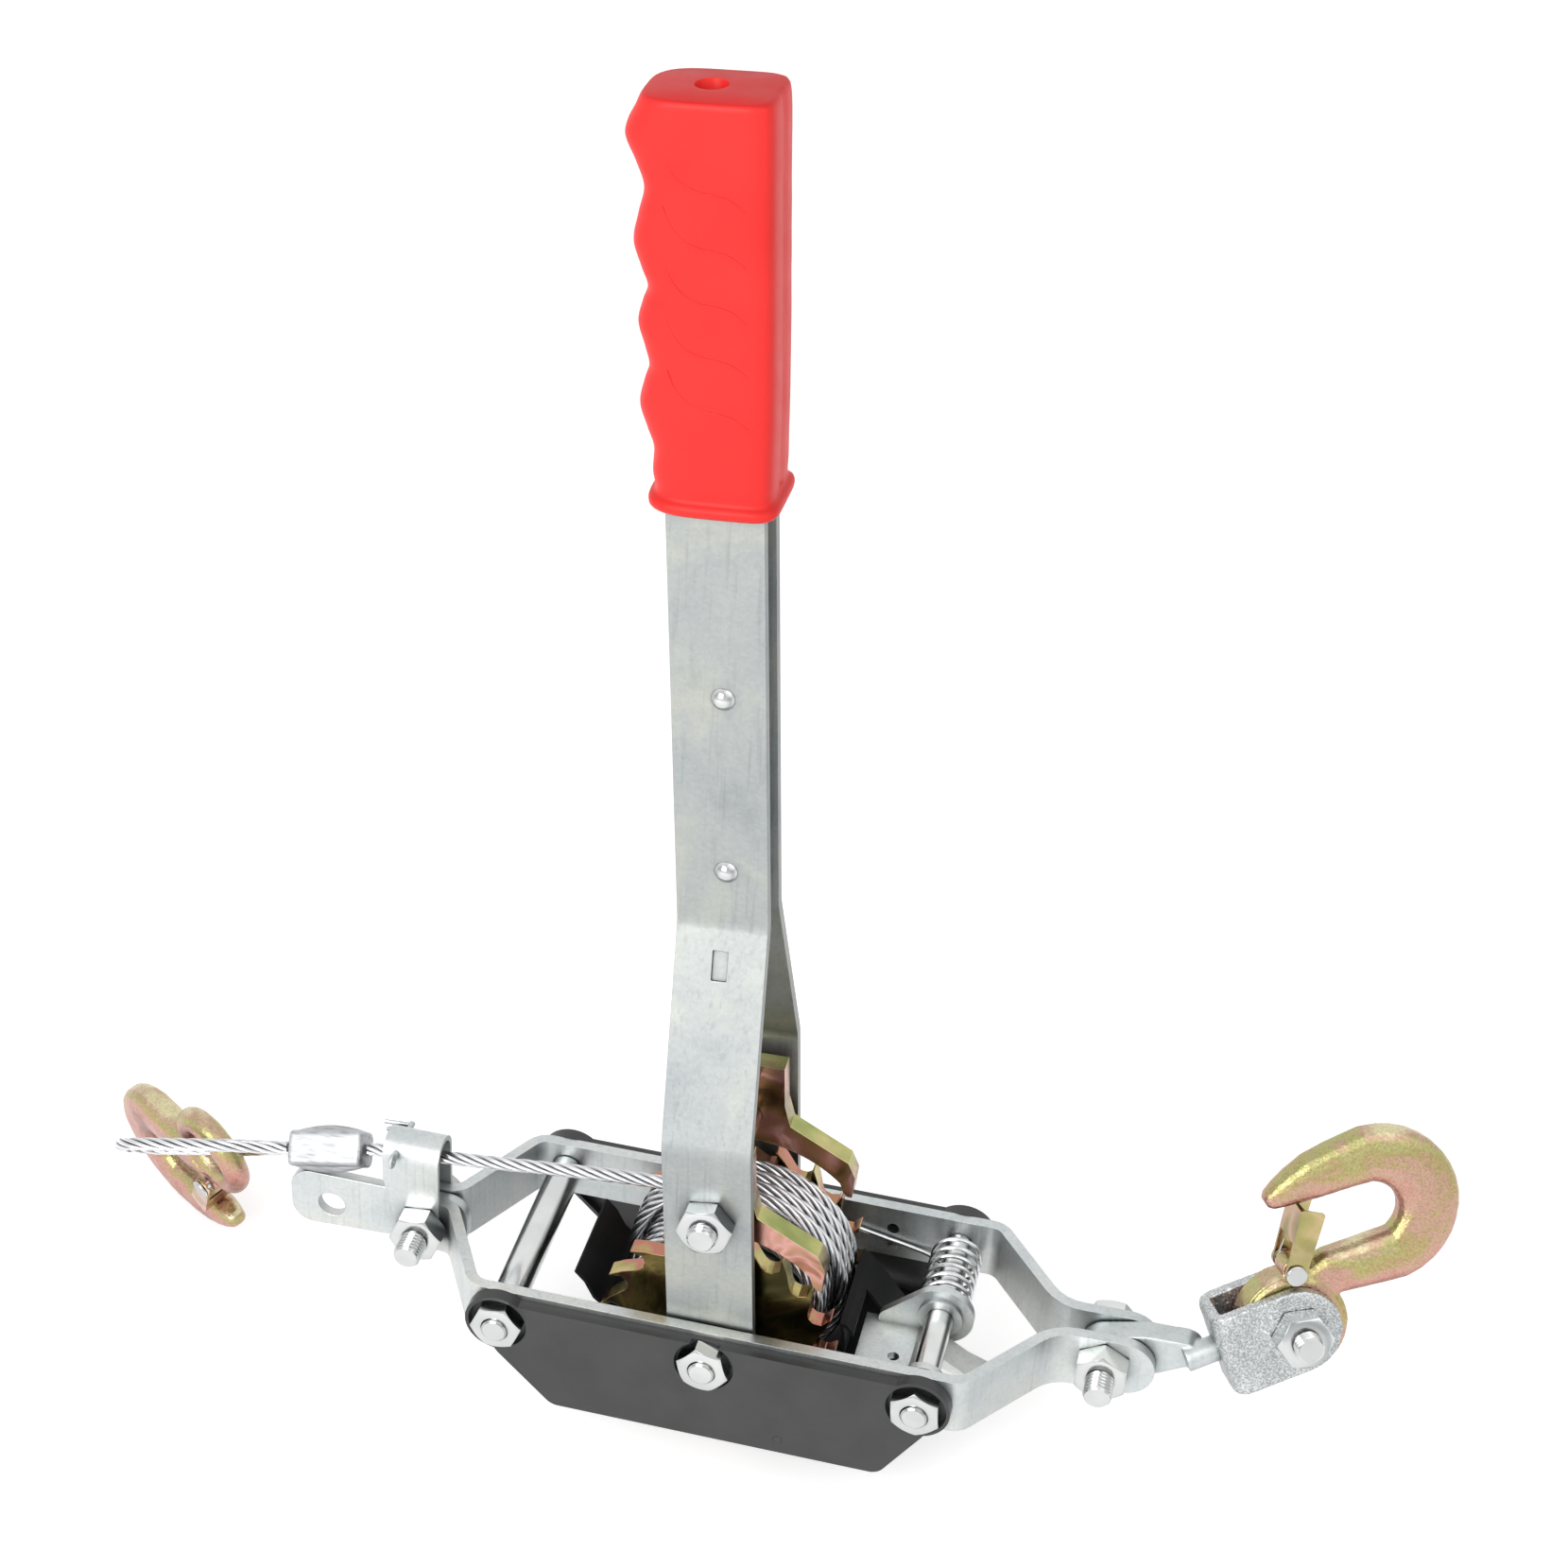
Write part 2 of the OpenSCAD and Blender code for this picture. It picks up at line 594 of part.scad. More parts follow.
// Rivets with a spacer between the strips
module handle_rivets() at_axle() color(zinc) leaned() for (z = rivet_heights) {
    pin_y(rivet_shift, z, 2.6, -strip_high - 3.4, strip_high + 3.4, 24);
    pin_y(rivet_shift, z, 4.6, -strip_high + 2, strip_high - 2, 24);
    for (s = [-1, 1]) intersection() {
        translate([rivet_shift, s * (strip_high - 0.2), z]) sphere(r = 4.5, $fn = 24);
        pin_y(rivet_shift, z, 5, min(s * 9.5, s * 14), max(s * 9.5, s * 14), 24);
    }
}

// Grip outline above its lower end: height, left reach, right reach, half thickness
grip_base = handle_height - grip_length;
grip_half = 14.8;
grip_stations = [[0, 22, 20, 14.6], [1.4, 24.4, 22.6, 17], [3.6, 24.2, 22.4, 16.8], [5, 21.2, 20.4, 14.8],
    [9, 21.5, 20.6, grip_half], [16, 20.7, 20.6, grip_half], [22, 22.6, 20.8, grip_half],
    [29, 24.6, 21, grip_half], [36, 23, 21, grip_half], [41, 21.4, 21, grip_half],
    [47, 22.6, 21, grip_half], [54, 24.3, 21.2, grip_half], [60, 22.8, 21.2, grip_half],
    [65, 21.1, 21.2, grip_half], [71, 23, 21.2, grip_half], [78, 24.9, 21.2, grip_half],
    [86, 23.2, 21.3, grip_half], [94, 21.3, 21.3, grip_half], [102, 23.6, 21.4, grip_half],
    [109, 26.3, 21.5, grip_half], [114, 25.6, 21.4, 14.7], [119, 23, 20.2, 14.6],
    [122.4, 20.2, 18, 14.4], [124, 17, 15.6, 13.6]];
grip_stretch = grip_length / grip_stations[len(grip_stations) - 1][0];

// Blind hanging hole in the grip's top face: x, y, radius, depth
grip_hole = [-1.3, 1.5, 4.7, 18];
module grip() at_axle() color(red) leaned() difference() {
    loft([for (g = grip_stations) [for (k = [0:23]) let (t = 15 * k, o = oval(1, g[3], t, 3))
        [o[0] * (o[0] < 0 ? g[1] : g[2]), o[1], grip_base + g[0] * grip_stretch]]]);
    for (s = [-1, 1]) translate([-strip_width / 2 - fit, s * strip_high - strip_thick / 2 - fit, grip_base - 1])
        cube([strip_width + 2 * fit, strip_thick + 2 * fit, strip_end - grip_base + 1 + fit]);
    translate([grip_hole[0], grip_hole[1], handle_height - grip_hole[3]])
        cylinder(r = grip_hole[2], h = grip_hole[3] + cut);
}

// ---------- drive pawl on the handle ----------

drive_pivot = [-sin(handle_lean), cos(handle_lean)] * drive_pivot_height;
pawl_plates = [wheel_in, wheel_out + 1];
nose_r = tooth_tip_radius + 1.6;
underside_r = tooth_tip_radius + 3.3;
pawl_boss_r = 8;

// Outline clear of the wheel, with its nose just clear of the tooth tips
module drive_pawl_outline() {
    difference() {
        polygon([[-13.5, 48.6], [-14.5, 58], [-9, 66], [-7, 77.4], [8.7, 78], [9.6, 62], [12, 53.6],
            [33.2, 42.2], [36, 36], [35.4, 27], [32.6, 27.2], [27, 22], [0, 38]]);
        circle(r = underside_r, $fn = 96);
    }
    difference() {
        polygon([[29, 38], [34, 38], [36, 36], [35.4, 27], [32.6, 27.2]]);
        circle(r = nose_r, $fn = 96);
    }
}

module drive_pawl() at_axle() color(gold) difference() {
    union() {
        for (s = [0, 1]) mirror([0, s, 0]) {
            plate_y(pawl_plates[0], pawl_plates[1]) drive_pawl_outline();
            pin_y(drive_pivot[0], drive_pivot[1], pawl_boss_r, pawl_plates[0], pawl_plates[1] + 3.6);
        }
        plate_y(-pawl_plates[0] - 1, pawl_plates[0] + 1) translate([-7.4, 68.5]) square([6, 5]);
    }
    pin_y(drive_pivot[0], drive_pivot[1], thread_r + fit, -bar_out, bar_out);
}

strip_face = strip_low + strip_thick / 2;
drive_nut_thick = 6;
drive_head_thick = 5;
drive_bolt_reach = 9.6;

module drive_pawl_bolt() at_axle() color(zinc) {
    pin_y(drive_pivot[0], drive_pivot[1], thread_r, -strip_face - drive_bolt_reach, strip_face);
    pin_y(drive_pivot[0], drive_pivot[1], nut_r, strip_face, strip_face + drive_head_thick, 6);
}
module drive_pawl_nut() at_axle() color(zinc)
    nut_y(drive_pivot[0], drive_pivot[1], -strip_face - drive_nut_thick, -strip_face, nut_flats, thread_r + fit);

// Torsion spring round the pivot, between the cable and the front plate
drive_spring_line = concat([[-9.4, -18.8, 63], [-9.6, -18.6, 59]],
    helix_y(drive_pivot, 6.5, -18.4, -6.6, 4.5, 180, 8), [[3.3, -6.4, 59], [3.1, -6.2, 63]]);
module drive_pawl_spring() at_axle() color(steel) loft(tube_rings(drive_spring_line, 0.6, [0.1, 1, 0.2], 6));

// ---------- swivel link, clevis and hooks ----------

// Axes of the clevis: along its bolt-to-base line, across its arms, and up
clevis_yaw = 26.7;
clevis_pitch = 19.4;
clevis_roll = -18.9;
clevis_at = [166.44, 0.04, 11.03];

module at_clevis() translate(clevis_at) rotate([0, 0, clevis_yaw]) rotate([0, -clevis_pitch, 0])
    rotate([clevis_roll, 0, 0]) children();

// Round bar along the local X axis
module pin_x(r, x0, x1) translate([x0, 0, 0]) rotate([0, 90, 0]) cylinder(r = r, h = x1 - x0);

link_half = right_half_gap - gap;
link_pitch = 16;
neck_r = 4.5;
base_wall = 4.2;
arm_wall = 4.3;
arm_half = 15;
bolt_reach = 26.8;
clevis_in = clevis_width / 2 - arm_wall;

module swivel_link() at_axle() color(zinc) difference() {
    union() {
        translate([right_bolt[0], 0, right_bolt[1]]) rotate([0, -link_pitch, 0])
            plate_y(-link_half, link_half) hull() {
                circle(r = 8.6);
                translate([15, 0]) circle(r = 8.2);
                translate([27.5, 0]) circle(r = 5);
            }
        at_clevis() pin_x(neck_r, -11, base_wall + 1);
        at_clevis() pin_x(6.1, base_wall + gap, base_wall + gap + 3);
    }
    pin_y(right_bolt[0], right_bolt[1], thread_r + fit, -20, 20);
}

clevis_bend_r = 6;

// Section of the clevis across its bolt: a channel with rounded outer bends
module clevis_section() difference() {
    hull() {
        for (s = [-1, 1]) translate([clevis_bend_r, s * (clevis_width / 2 - clevis_bend_r)]) circle(r = clevis_bend_r);
        translate([50, -clevis_width / 2]) square([10, clevis_width]);
    }
    hull() {
        for (s = [-1, 1]) translate([base_wall + 1, s * (clevis_in - 1)]) circle(r = 1);
        translate([50, -clevis_in]) square([20, 2 * clevis_in]);
    }
}

module clevis() at_axle() color(zinc) at_clevis() difference() {
    intersection() {
        translate([0, 0, -20]) linear_extrude(40) clevis_section();
        plate_y(-20, 20) hull() {
            translate([2.5, arm_half - 2.5]) circle(r = 2.5);
            translate([2.5, -arm_half + 2.5]) circle(r = 2.5);
            translate([bolt_reach, 0]) circle(r = arm_half);
        }
    }
    pin_x(neck_r + fit, -1, base_wall + 1);
    pin_y(bolt_reach, 0, thread_r + fit, -20, 20);
}

clevis_face = clevis_width / 2;
module clevis_bolt() at_axle() color(zinc) at_clevis() {
    pin_y(bolt_reach, 0, thread_r, -clevis_face - end_nut_thick - 5, clevis_face);
    pin_y(bolt_reach, 0, nut_r, clevis_face, clevis_face + head_thick, 6);
}
module clevis_nut() at_axle() color(zinc) at_clevis()
    nut_y(bolt_reach, 0, -clevis_face - end_nut_thick, -clevis_face, nut_flats, thread_r + fit);

// Hook, drawn round its eye: X along the shank, Z up to the point.
// Stations of the body: x, z, width in the plane of the hook, thickness
bowl_centre = [38.2, 28.7];
bowl_mid = 19.2;
bowl_half = bowl_mid - hook_bowl_radius;
hook_stations = concat(
    [[3, 6, 15, 11], [10, 9.6, 16, 12], [18.2, 11.9, 16.6, hook_thick], [28, 11, 17.4, hook_thick]],
    [for (a = [-80:10:80]) let (p = bowl_centre + polar(bowl_mid, a))
        [p[0], p[1], 2 * bowl_half + 2.4 * cos(a), hook_thick]],
    [[30, 47.8, 17.4, hook_thick], [22, 47.4, 15.8, 12], [15, 46.4, 12.4, 11], [9.6, 45.4, 9.2, 9.4],
     [6, 44.6, 6.4, 7.4], [4.6, 44.3, 3.4, 5]]);

function station_ring(s, i) =
    let (t = unit([s[min(i + 1, len(s) - 1)][0] - s[max(i - 1, 0)][0],
                   s[min(i + 1, len(s) - 1)][1] - s[max(i - 1, 0)][1]]))
    [for (k = [0:15]) let (o = oval(s[i][2] / 2, s[i][3] / 2, 22.5 * k + 11.25, 2.7))
        [s[i][0] - t[1] * o[0], -o[1], s[i][1] + t[0] * o[0]]];

latch_pivot = [5.6, 18.8];
latch_rivet_r = 1.8;

module hook_body() {
    loft([for (i = [0:len(hook_stations) - 1]) station_ring(hook_stations, i)]);
    plate_y(-4.6, 4.6) hull() {
        translate(latch_pivot) circle(r = 3.8);
        translate([9, 10]) circle(r = 5);
    }
}

// Latch: a bent channel round the shank, closing the mouth under the point
latch_in = hook_thick / 2 + 0.35;
latch_out = latch_in + 1.1;
latch_angle = 58;
latch_length = 24;

module latch_frame() translate([latch_pivot[0], 0, latch_pivot[1]]) rotate([0, -latch_angle, 0]) children();

module latch() latch_frame() {
    difference() {
        plate_y(-latch_out, latch_out) hull() {
            circle(r = 3.6);
            translate([latch_length - 2, 3]) circle(r = 1);
            translate([latch_length - 2, -3.4]) circle(r = 1);
        }
        plate_y(-latch_in, latch_in) polygon([[-6, -6], [latch_length + 3, -6], [latch_length + 3, 2.8],
            [11, 2.8], [10, 6], [-6, 6]]);
        pin_y(0, 0, latch_rivet_r + fit, -20, 20, 24);
    }
}

module latch_rivet() latch_frame() {
    pin_y(0, 0, latch_rivet_r, -latch_out - 0.6, latch_out + 0.6, 24);
    for (s = [0, 1]) mirror([0, s, 0]) pin_y(0, 0, 3.6, latch_out + 0.05, latch_out + 1.5, 24);
}

module latch_spring() latch_frame() loft(tube_rings(
    concat(helix_y([0, 0], 2.7, 5, 6.3, 2, 120, 8), [[7, 6.3, 1.5]]),
    0.3, [0.1, 1, 0.2], 6));

// Rivet hole in the hook, and the recess that the latch spring coils in
module latch_cuts() {
    pin_y(latch_pivot[0], latch_pivot[1], latch_rivet_r + fit, -20, 20, 24);
    pin_y(latch_pivot[0], latch_pivot[1], 3.6, 4.5, 8, 24);
}

module at_right_hook() at_clevis() translate([bolt_reach, 0, 0]) children();

module right_hook() at_axle() color(gold) at_right_hook() difference() {
    union() {
        hook_body();
        pin_y(0, 0, hook_eye_radius, -hook_thick / 2 + 1, hook_thick / 2 - 1);
        pin_y(0, 0, hook_eye_radius - 1.6, -hook_thick / 2, hook_thick / 2);
    }
    pin_y(0, 0, thread_r + fit, -20, 20);
    latch_cuts();
}
module right_latch() at_axle() color(gold) at_right_hook() latch();
module right_latch_rivet() at_axle() color(zinc) at_right_hook() latch_rivet();
module right_latch_spring() at_axle() color(steel) at_right_hook() latch_spring();

// The left hook hangs by its open eye on the far strand of the loop
left_hook_x = unit([-0.83, 0.558, -0.013]);
left_hook_y = unit(cross([0.153, 0.204, -0.967], left_hook_x));
left_hook_z = cross(left_hook_x, left_hook_y);
ring_r = 4.75;

// The eye is dropped until its upper side all but rests on the strand
left_drop = 0.4;
left_tilt = unit(loop_dir - (loop_dir * left_hook_y) * left_hook_y);
left_side = unit(left_tilt - (left_tilt * loop_dir) * loop_dir);
left_eye = loop_point(37.4, loop_half) - left_drop * sign(left_side[2]) * left_side;

module at_left_hook() multmatrix([
    [left_hook_x[0], left_hook_y[0], left_hook_z[0], left_eye[0]],
    [left_hook_x[1], left_hook_y[1], left_hook_z[1], left_eye[1]],
    [left_hook_x[2], left_hook_y[2], left_hook_z[2], left_eye[2]],
    [0, 0, 0, 1]]) children();

module left_hook() at_axle() color(gold) at_left_hook() difference() {
    union() {
        difference() {
            hook_body();
            pin_y(0, 0, hook_eye_radius - ring_r, -20, 20);
        }
        rotate([90, 0, 0]) rotate_extrude() translate([hook_eye_radius - ring_r, 0]) circle(r = ring_r, $fn = 24);
    }
    latch_cuts();
}
module left_latch() at_axle() color(gold) at_left_hook() latch();
module left_latch_rivet() at_axle() color(zinc) at_left_hook() latch_rivet();
module left_latch_spring() at_axle() color(steel) at_left_hook() latch_spring();

front_side_bar();
rear_side_bar();
front_cover();
rear_cover();
drum_guard();
guard_rivets();
axle_rod();
left_spacer_rod();
right_spacer_rod();
frame_nuts();
anchor_plate();
cable_guide_strap();
left_end_bolt();
left_end_nut();
cotter_pin();
right_end_bolt();
right_end_nut();
holding_pawl_spring();
spring_pin();
holding_pawl();
drum_core();
front_ratchet_wheel();
rear_ratchet_wheel();
cable_winding();
free_cable();
cable_ferrule();
cable_loop();
front_handle_strip();
rear_handle_strip();
handle_rivets();
grip();
drive_pawl();
drive_pawl_bolt();
drive_pawl_nut();
drive_pawl_spring();
swivel_link();
clevis();
clevis_bolt();
clevis_nut();
right_hook();
right_latch();
right_latch_rivet();
right_latch_spring();
left_hook();
left_latch();
left_latch_rivet();
left_latch_spring();
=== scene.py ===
"""Come along winch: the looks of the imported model, in metres in the shared frame."""

import json
import math

import bmesh
import bpy
from mathutils import Matrix, Vector, noise


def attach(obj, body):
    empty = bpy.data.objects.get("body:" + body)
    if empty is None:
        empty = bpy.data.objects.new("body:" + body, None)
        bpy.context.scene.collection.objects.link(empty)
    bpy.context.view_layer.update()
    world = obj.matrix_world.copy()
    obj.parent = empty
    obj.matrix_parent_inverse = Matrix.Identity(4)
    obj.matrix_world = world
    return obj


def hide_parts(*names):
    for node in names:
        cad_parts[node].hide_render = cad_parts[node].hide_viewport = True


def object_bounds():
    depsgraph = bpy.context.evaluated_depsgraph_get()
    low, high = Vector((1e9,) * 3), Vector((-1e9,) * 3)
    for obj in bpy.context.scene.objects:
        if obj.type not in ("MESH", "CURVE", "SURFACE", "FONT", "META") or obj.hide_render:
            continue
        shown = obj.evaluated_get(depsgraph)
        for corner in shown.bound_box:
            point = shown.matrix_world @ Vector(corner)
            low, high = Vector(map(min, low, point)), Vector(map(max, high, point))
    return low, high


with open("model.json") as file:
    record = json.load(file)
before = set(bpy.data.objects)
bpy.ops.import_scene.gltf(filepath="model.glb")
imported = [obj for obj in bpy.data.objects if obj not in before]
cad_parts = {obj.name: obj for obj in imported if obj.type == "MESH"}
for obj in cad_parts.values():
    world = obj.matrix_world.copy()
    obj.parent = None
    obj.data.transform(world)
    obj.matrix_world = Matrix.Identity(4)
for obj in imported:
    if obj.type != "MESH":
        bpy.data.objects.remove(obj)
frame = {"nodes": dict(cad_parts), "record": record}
CAD_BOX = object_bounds()

MM = 0.001

# Centre of the axle from the origin, which is the anchor hole
AXLE = (149.7, 0, 3)

# Millimetres about the axle to metres in the shared frame
TO_FRAME = Matrix.Scale(MM, 4) @ Matrix.Translation(AXLE)


def turn(axis, degrees):
    """Rotation about an axis through the origin."""
    return Matrix.Rotation(math.radians(degrees), 4, axis)


# Local Z runs toward the front of the tool, which is -Y
FACING_FRONT = turn("X", 90)
FACING_REAR = turn("X", -90)

# Places about the axle: the leaned handle, the clevis, the right hook and the drive pawl's pivot
HANDLE = turn("Y", -3.23)
CLEVIS = Matrix.Translation((166.44, 0.04, 11.03)) @ turn("Z", 26.7) @ turn("Y", -19.4) @ turn("X", -18.9)
RIGHT_HOOK = CLEVIS @ Matrix.Translation((26.8, 0, 0))
DRIVE_PIVOT = Vector((-3.127, 0, 55.412))

BODIES = frame["record"]["behaviour"]["bodies"]
BODY_OF = {node: body for body, nodes in BODIES.items() for node in nodes}


# ---------- camera, light and floor ----------

CAMERA_PLACE = (0.2998, -0.7363, 0.6941)
CAMERA_RIGHT = Vector((0.9676, 0.2506, 0.0325))
CAMERA_BACK = Vector((0.1909, -0.8092, 0.5556))
CAMERA_LENS = 65.96
CAMERA_SHIFT = (0.0612, 0.0263)

# Name, place, target, size and power of each lamp
LAMPS = (("key", (-0.35, -1.25, 0.85), (0.15, 0, 0.15), 0.9, 13),
         ("fill", (0.9, -0.6, 1.1), (0.15, 0, 0.1), 1.2, 3))

# Strength of the white world as a light and as a background
WORLD_STRENGTHS = (0.55, 1.0)

# Glow of the floor as a light and as a background, which keeps it white and its shadow soft
FLOOR_GLOWS = (0.0, 0.5)
FLOOR_RADIUS = 4

# Drop from the lowest point of the solids to the floor
FLOOR_GAP = 0.0005


def make_camera():
    """Camera at the photograph's viewing angle, for a square frame."""
    data = bpy.data.cameras.new("camera")
    data.sensor_width = 36
    data.lens = CAMERA_LENS
    data.shift_x, data.shift_y = CAMERA_SHIFT
    data.clip_start = 0.05
    camera = bpy.data.objects.new("camera", data)
    right = CAMERA_RIGHT.normalized()
    back = CAMERA_BACK.normalized()
    up = back.cross(right).normalized()
    right = up.cross(back)
    camera.matrix_world = Matrix.Translation(CAMERA_PLACE) @ Matrix((
        (right.x, up.x, back.x, 0),
        (right.y, up.y, back.y, 0),
        (right.z, up.z, back.z, 0),
        (0, 0, 0, 1)))
    bpy.context.scene.collection.objects.link(camera)
    bpy.context.scene.camera = camera


def background_seen(tree, low, high):
    """Value that is high for camera, glossy and transmission rays, and low as a light."""
    path = tree.nodes.new("ShaderNodeLightPath")
    seen = tree.nodes.new("ShaderNodeMath")
    seen.operation = "MAXIMUM"
    seen_glass = tree.nodes.new("ShaderNodeMath")
    seen_glass.operation = "MAXIMUM"
    strength = tree.nodes.new("ShaderNodeMapRange")
    strength.inputs["To Min"].default_value = low
    strength.inputs["To Max"].default_value = high
    tree.links.new(path.outputs["Is Camera Ray"], seen.inputs[0])
    tree.links.new(path.outputs["Is Glossy Ray"], seen.inputs[1])
    tree.links.new(seen.outputs[0], seen_glass.inputs[0])
    tree.links.new(path.outputs["Is Transmission Ray"], seen_glass.inputs[1])
    tree.links.new(seen_glass.outputs[0], strength.inputs["Value"])
    return strength.outputs["Result"]


def make_world():
    """White for the camera and for reflections, weaker as a light."""
    world = bpy.data.worlds.new("studio")
    world.use_nodes = True
    tree = world.node_tree
    background = tree.nodes["Background"]
    tree.links.new(background_seen(tree, *WORLD_STRENGTHS), background.inputs["Strength"])
    background.inputs["Color"].default_value = (1, 1, 1, 1)
    bpy.context.scene.world = world


def make_lamp(name, place, target, size, power):
    """Soft square area lamp that looks at a point."""
    data = bpy.data.lights.new(name, "AREA")
    data.size = size
    data.energy = power
    lamp = bpy.data.objects.new(name, data)
    lamp.location = place
    lamp.rotation_mode = "QUATERNION"
    lamp.rotation_quaternion = (Vector(target) - Vector(place)).to_track_quat("-Z", "Y")
    bpy.context.scene.collection.objects.link(lamp)


def make_floor():
    """Pale floor that the object casts its shadow on."""
    mesh = bpy.data.meshes.new("floor")
    bm = bmesh.new()
    bmesh.ops.create_circle(bm, cap_ends=True, segments=64, radius=FLOOR_RADIUS)
    bm.to_mesh(mesh)
    bm.free()
    floor = bpy.data.objects.new("floor", mesh)
    floor.location = (0.2, 0, CAD_BOX[0].z - FLOOR_GAP)
    bpy.context.scene.collection.objects.link(floor)
    material = bpy.data.materials.new("floor_white")
    material.use_nodes = True
    tree = material.node_tree
    shader = tree.nodes["Principled BSDF"]
    shader.inputs["Base Color"].default_value = (0.92, 0.92, 0.92, 1)
    shader.inputs["Roughness"].default_value = 0.9
    shader.inputs["Specular IOR Level"].default_value = 0.1
    tree.links.new(background_seen(tree, *FLOOR_GLOWS), shader.inputs["Emission Strength"])
    shader.inputs["Emission Color"].default_value = (1, 1, 1, 1)
    mesh.materials.append(material)


# ---------- materials ----------

class Finish:
    """Procedural material under one principled shader, in object coordinates."""

    def __init__(self, name, roughness, metallic=0.0, **inputs):
        self.material = bpy.data.materials.new(name)
        self.material.use_nodes = True
        self.tree = self.material.node_tree
        self.shader = self.tree.nodes["Principled BSDF"]
        self.shader.inputs["Roughness"].default_value = roughness
        self.shader.inputs["Metallic"].default_value = metallic
        for key, value in inputs.items():
            self.shader.inputs[key.replace("_", " ")].default_value = value
        self.coordinates = self.tree.nodes.new("ShaderNodeTexCoord").outputs["Object"]

    def node(self, kind, **values):
        """New node with its values set."""
        made = self.tree.nodes.new(kind)
        for key, value in values.items():
            if key in made.inputs:
                made.inputs[key].default_value = value
            else:
                setattr(made, key, value)
        return made

    def link(self, output, target):
        """Connect an output to a socket."""
        self.tree.links.new(output, target)

    def stretched(self, scale):
        """Object coordinates scaled by x, y and z."""
        mapping = self.node("ShaderNodeMapping", Scale=scale)
        self.link(self.coordinates, mapping.inputs["Vector"])
        return mapping.outputs["Vector"]

    def noise(self, scale, detail=4.0, coordinates=None, distortion=0.0):
        """Cloudy value between 0 and 1."""
        made = self.node("ShaderNodeTexNoise", Scale=scale, Detail=detail, Distortion=distortion)
        self.link(coordinates or self.coordinates, made.inputs["Vector"])
        return made.outputs["Fac"]

    def cells(self, scale, coordinates=None):
        """Random grey value for each crystal of a spangled surface."""
        made = self.node("ShaderNodeTexVoronoi", Scale=scale)
        self.link(coordinates or self.coordinates, made.inputs["Vector"])
        grey = self.node("ShaderNodeSeparateColor")
        self.link(made.outputs["Color"], grey.inputs["Color"])
        return grey.outputs["Red"]

    def ramp(self, value, stops):
        """Colours from a value; stops are (position, red, green, blue)."""
        made = self.node("ShaderNodeValToRGB")
        elements = made.color_ramp.elements
        while len(elements) < len(stops):
            elements.new(0.5)
        for element, (position, red, green, blue) in zip(elements, stops):
            element.position = position
            element.color = (red, green, blue, 1)
        self.link(value, made.inputs["Fac"])
        return made.outputs["Color"]

    def mix(self, value, first, second, blend="MIX"):
        """Blend of two colours by a value."""
        made = self.node("ShaderNodeMix", data_type="RGBA", blend_type=blend)
        for output, key in ((value, "Factor"), (first, "A"), (second, "B")):
            target = made.inputs[key]
            if isinstance(output, (tuple, float)):
                target.default_value = output
            else:
                self.link(output, target)
        return made.outputs["Result"]

    def times(self, first, *others):
        """Product of colours."""
        for other in others:
            first = self.mix(1.0, first, other, "MULTIPLY")
        return first

    def mask(self, value, low, high):
        """Black below low and white above high."""
        return self.ramp(value, [(low, 0.0, 0.0, 0.0), (high, 1.0, 1.0, 1.0)])

    def spread(self, value, low, high):
        """Value between low and high."""
        made = self.node("ShaderNodeMapRange")
        made.inputs["To Min"].default_value = low
        made.inputs["To Max"].default_value = high
        self.link(value, made.inputs["Value"])
        return made.outputs["Result"]

    def uneven(self, scale, detail, low, high):
        """Noise between low and high, for a roughness."""
        return self.spread(self.noise(scale, detail), low, high)

    def relief(self, height, distance, strength, under=None):
        """Bump of a height pattern, over an earlier bump."""
        made = self.node("ShaderNodeBump", Distance=distance, Strength=strength)
        self.link(height, made.inputs["Height"])
        if under is not None:
            self.link(under, made.inputs["Normal"])
        return made.outputs["Normal"]

    def facing(self, axis, low, high):
        """Value between low and high as the surface turns to face along X, Y or Z."""
        normal = self.node("ShaderNodeTexCoord").outputs["Normal"]
        parts = self.node("ShaderNodeSeparateXYZ")
        self.link(normal, parts.inputs["Vector"])
        made = self.node("ShaderNodeMapRange")
        made.inputs["From Min"].default_value = -1.0
        made.inputs["To Min"].default_value = low
        made.inputs["To Max"].default_value = high
        self.link(parts.outputs[axis], made.inputs["Value"])
        return made.outputs["Result"]

    def upward(self, stops):
        """Colours from the underside, at 0, to the top, at 1."""
        return self.ramp(self.facing("Z", 0.0, 1.0), stops)

    def across(self, axis):
        """How squarely a face looks along an object axis, either way: 0 to 1."""
        size = self.node("ShaderNodeMath", operation="ABSOLUTE")
        self.link(self.facing(axis, -1.0, 1.0), size.inputs[0])
        return size.outputs[0]

    def recess_shade(self, reach, dark):
        """Painted shade: 1 in the open and darker in grooves and corners."""
        hollow = self.node("ShaderNodeAmbientOcclusion", samples=4)
        hollow.inputs["Distance"].default_value = reach
        return self.ramp(hollow.outputs["AO"], [(0.25, dark, dark, dark), (0.85, 1.0, 1.0, 1.0)])

    def add(self, first, second, size):
        """first + second * size."""
        total = self.node("ShaderNodeMath", operation="MULTIPLY_ADD")
        self.link(second, total.inputs[0])
        total.inputs[1].default_value = size
        self.link(first, total.inputs[2])
        return total.outputs[0]

    def use(self, **outputs):
        """Connect outputs to the shader's sockets."""
        for key, output in outputs.items():
            self.link(output, self.shader.inputs[key.replace("_", " ")])
        return self.material


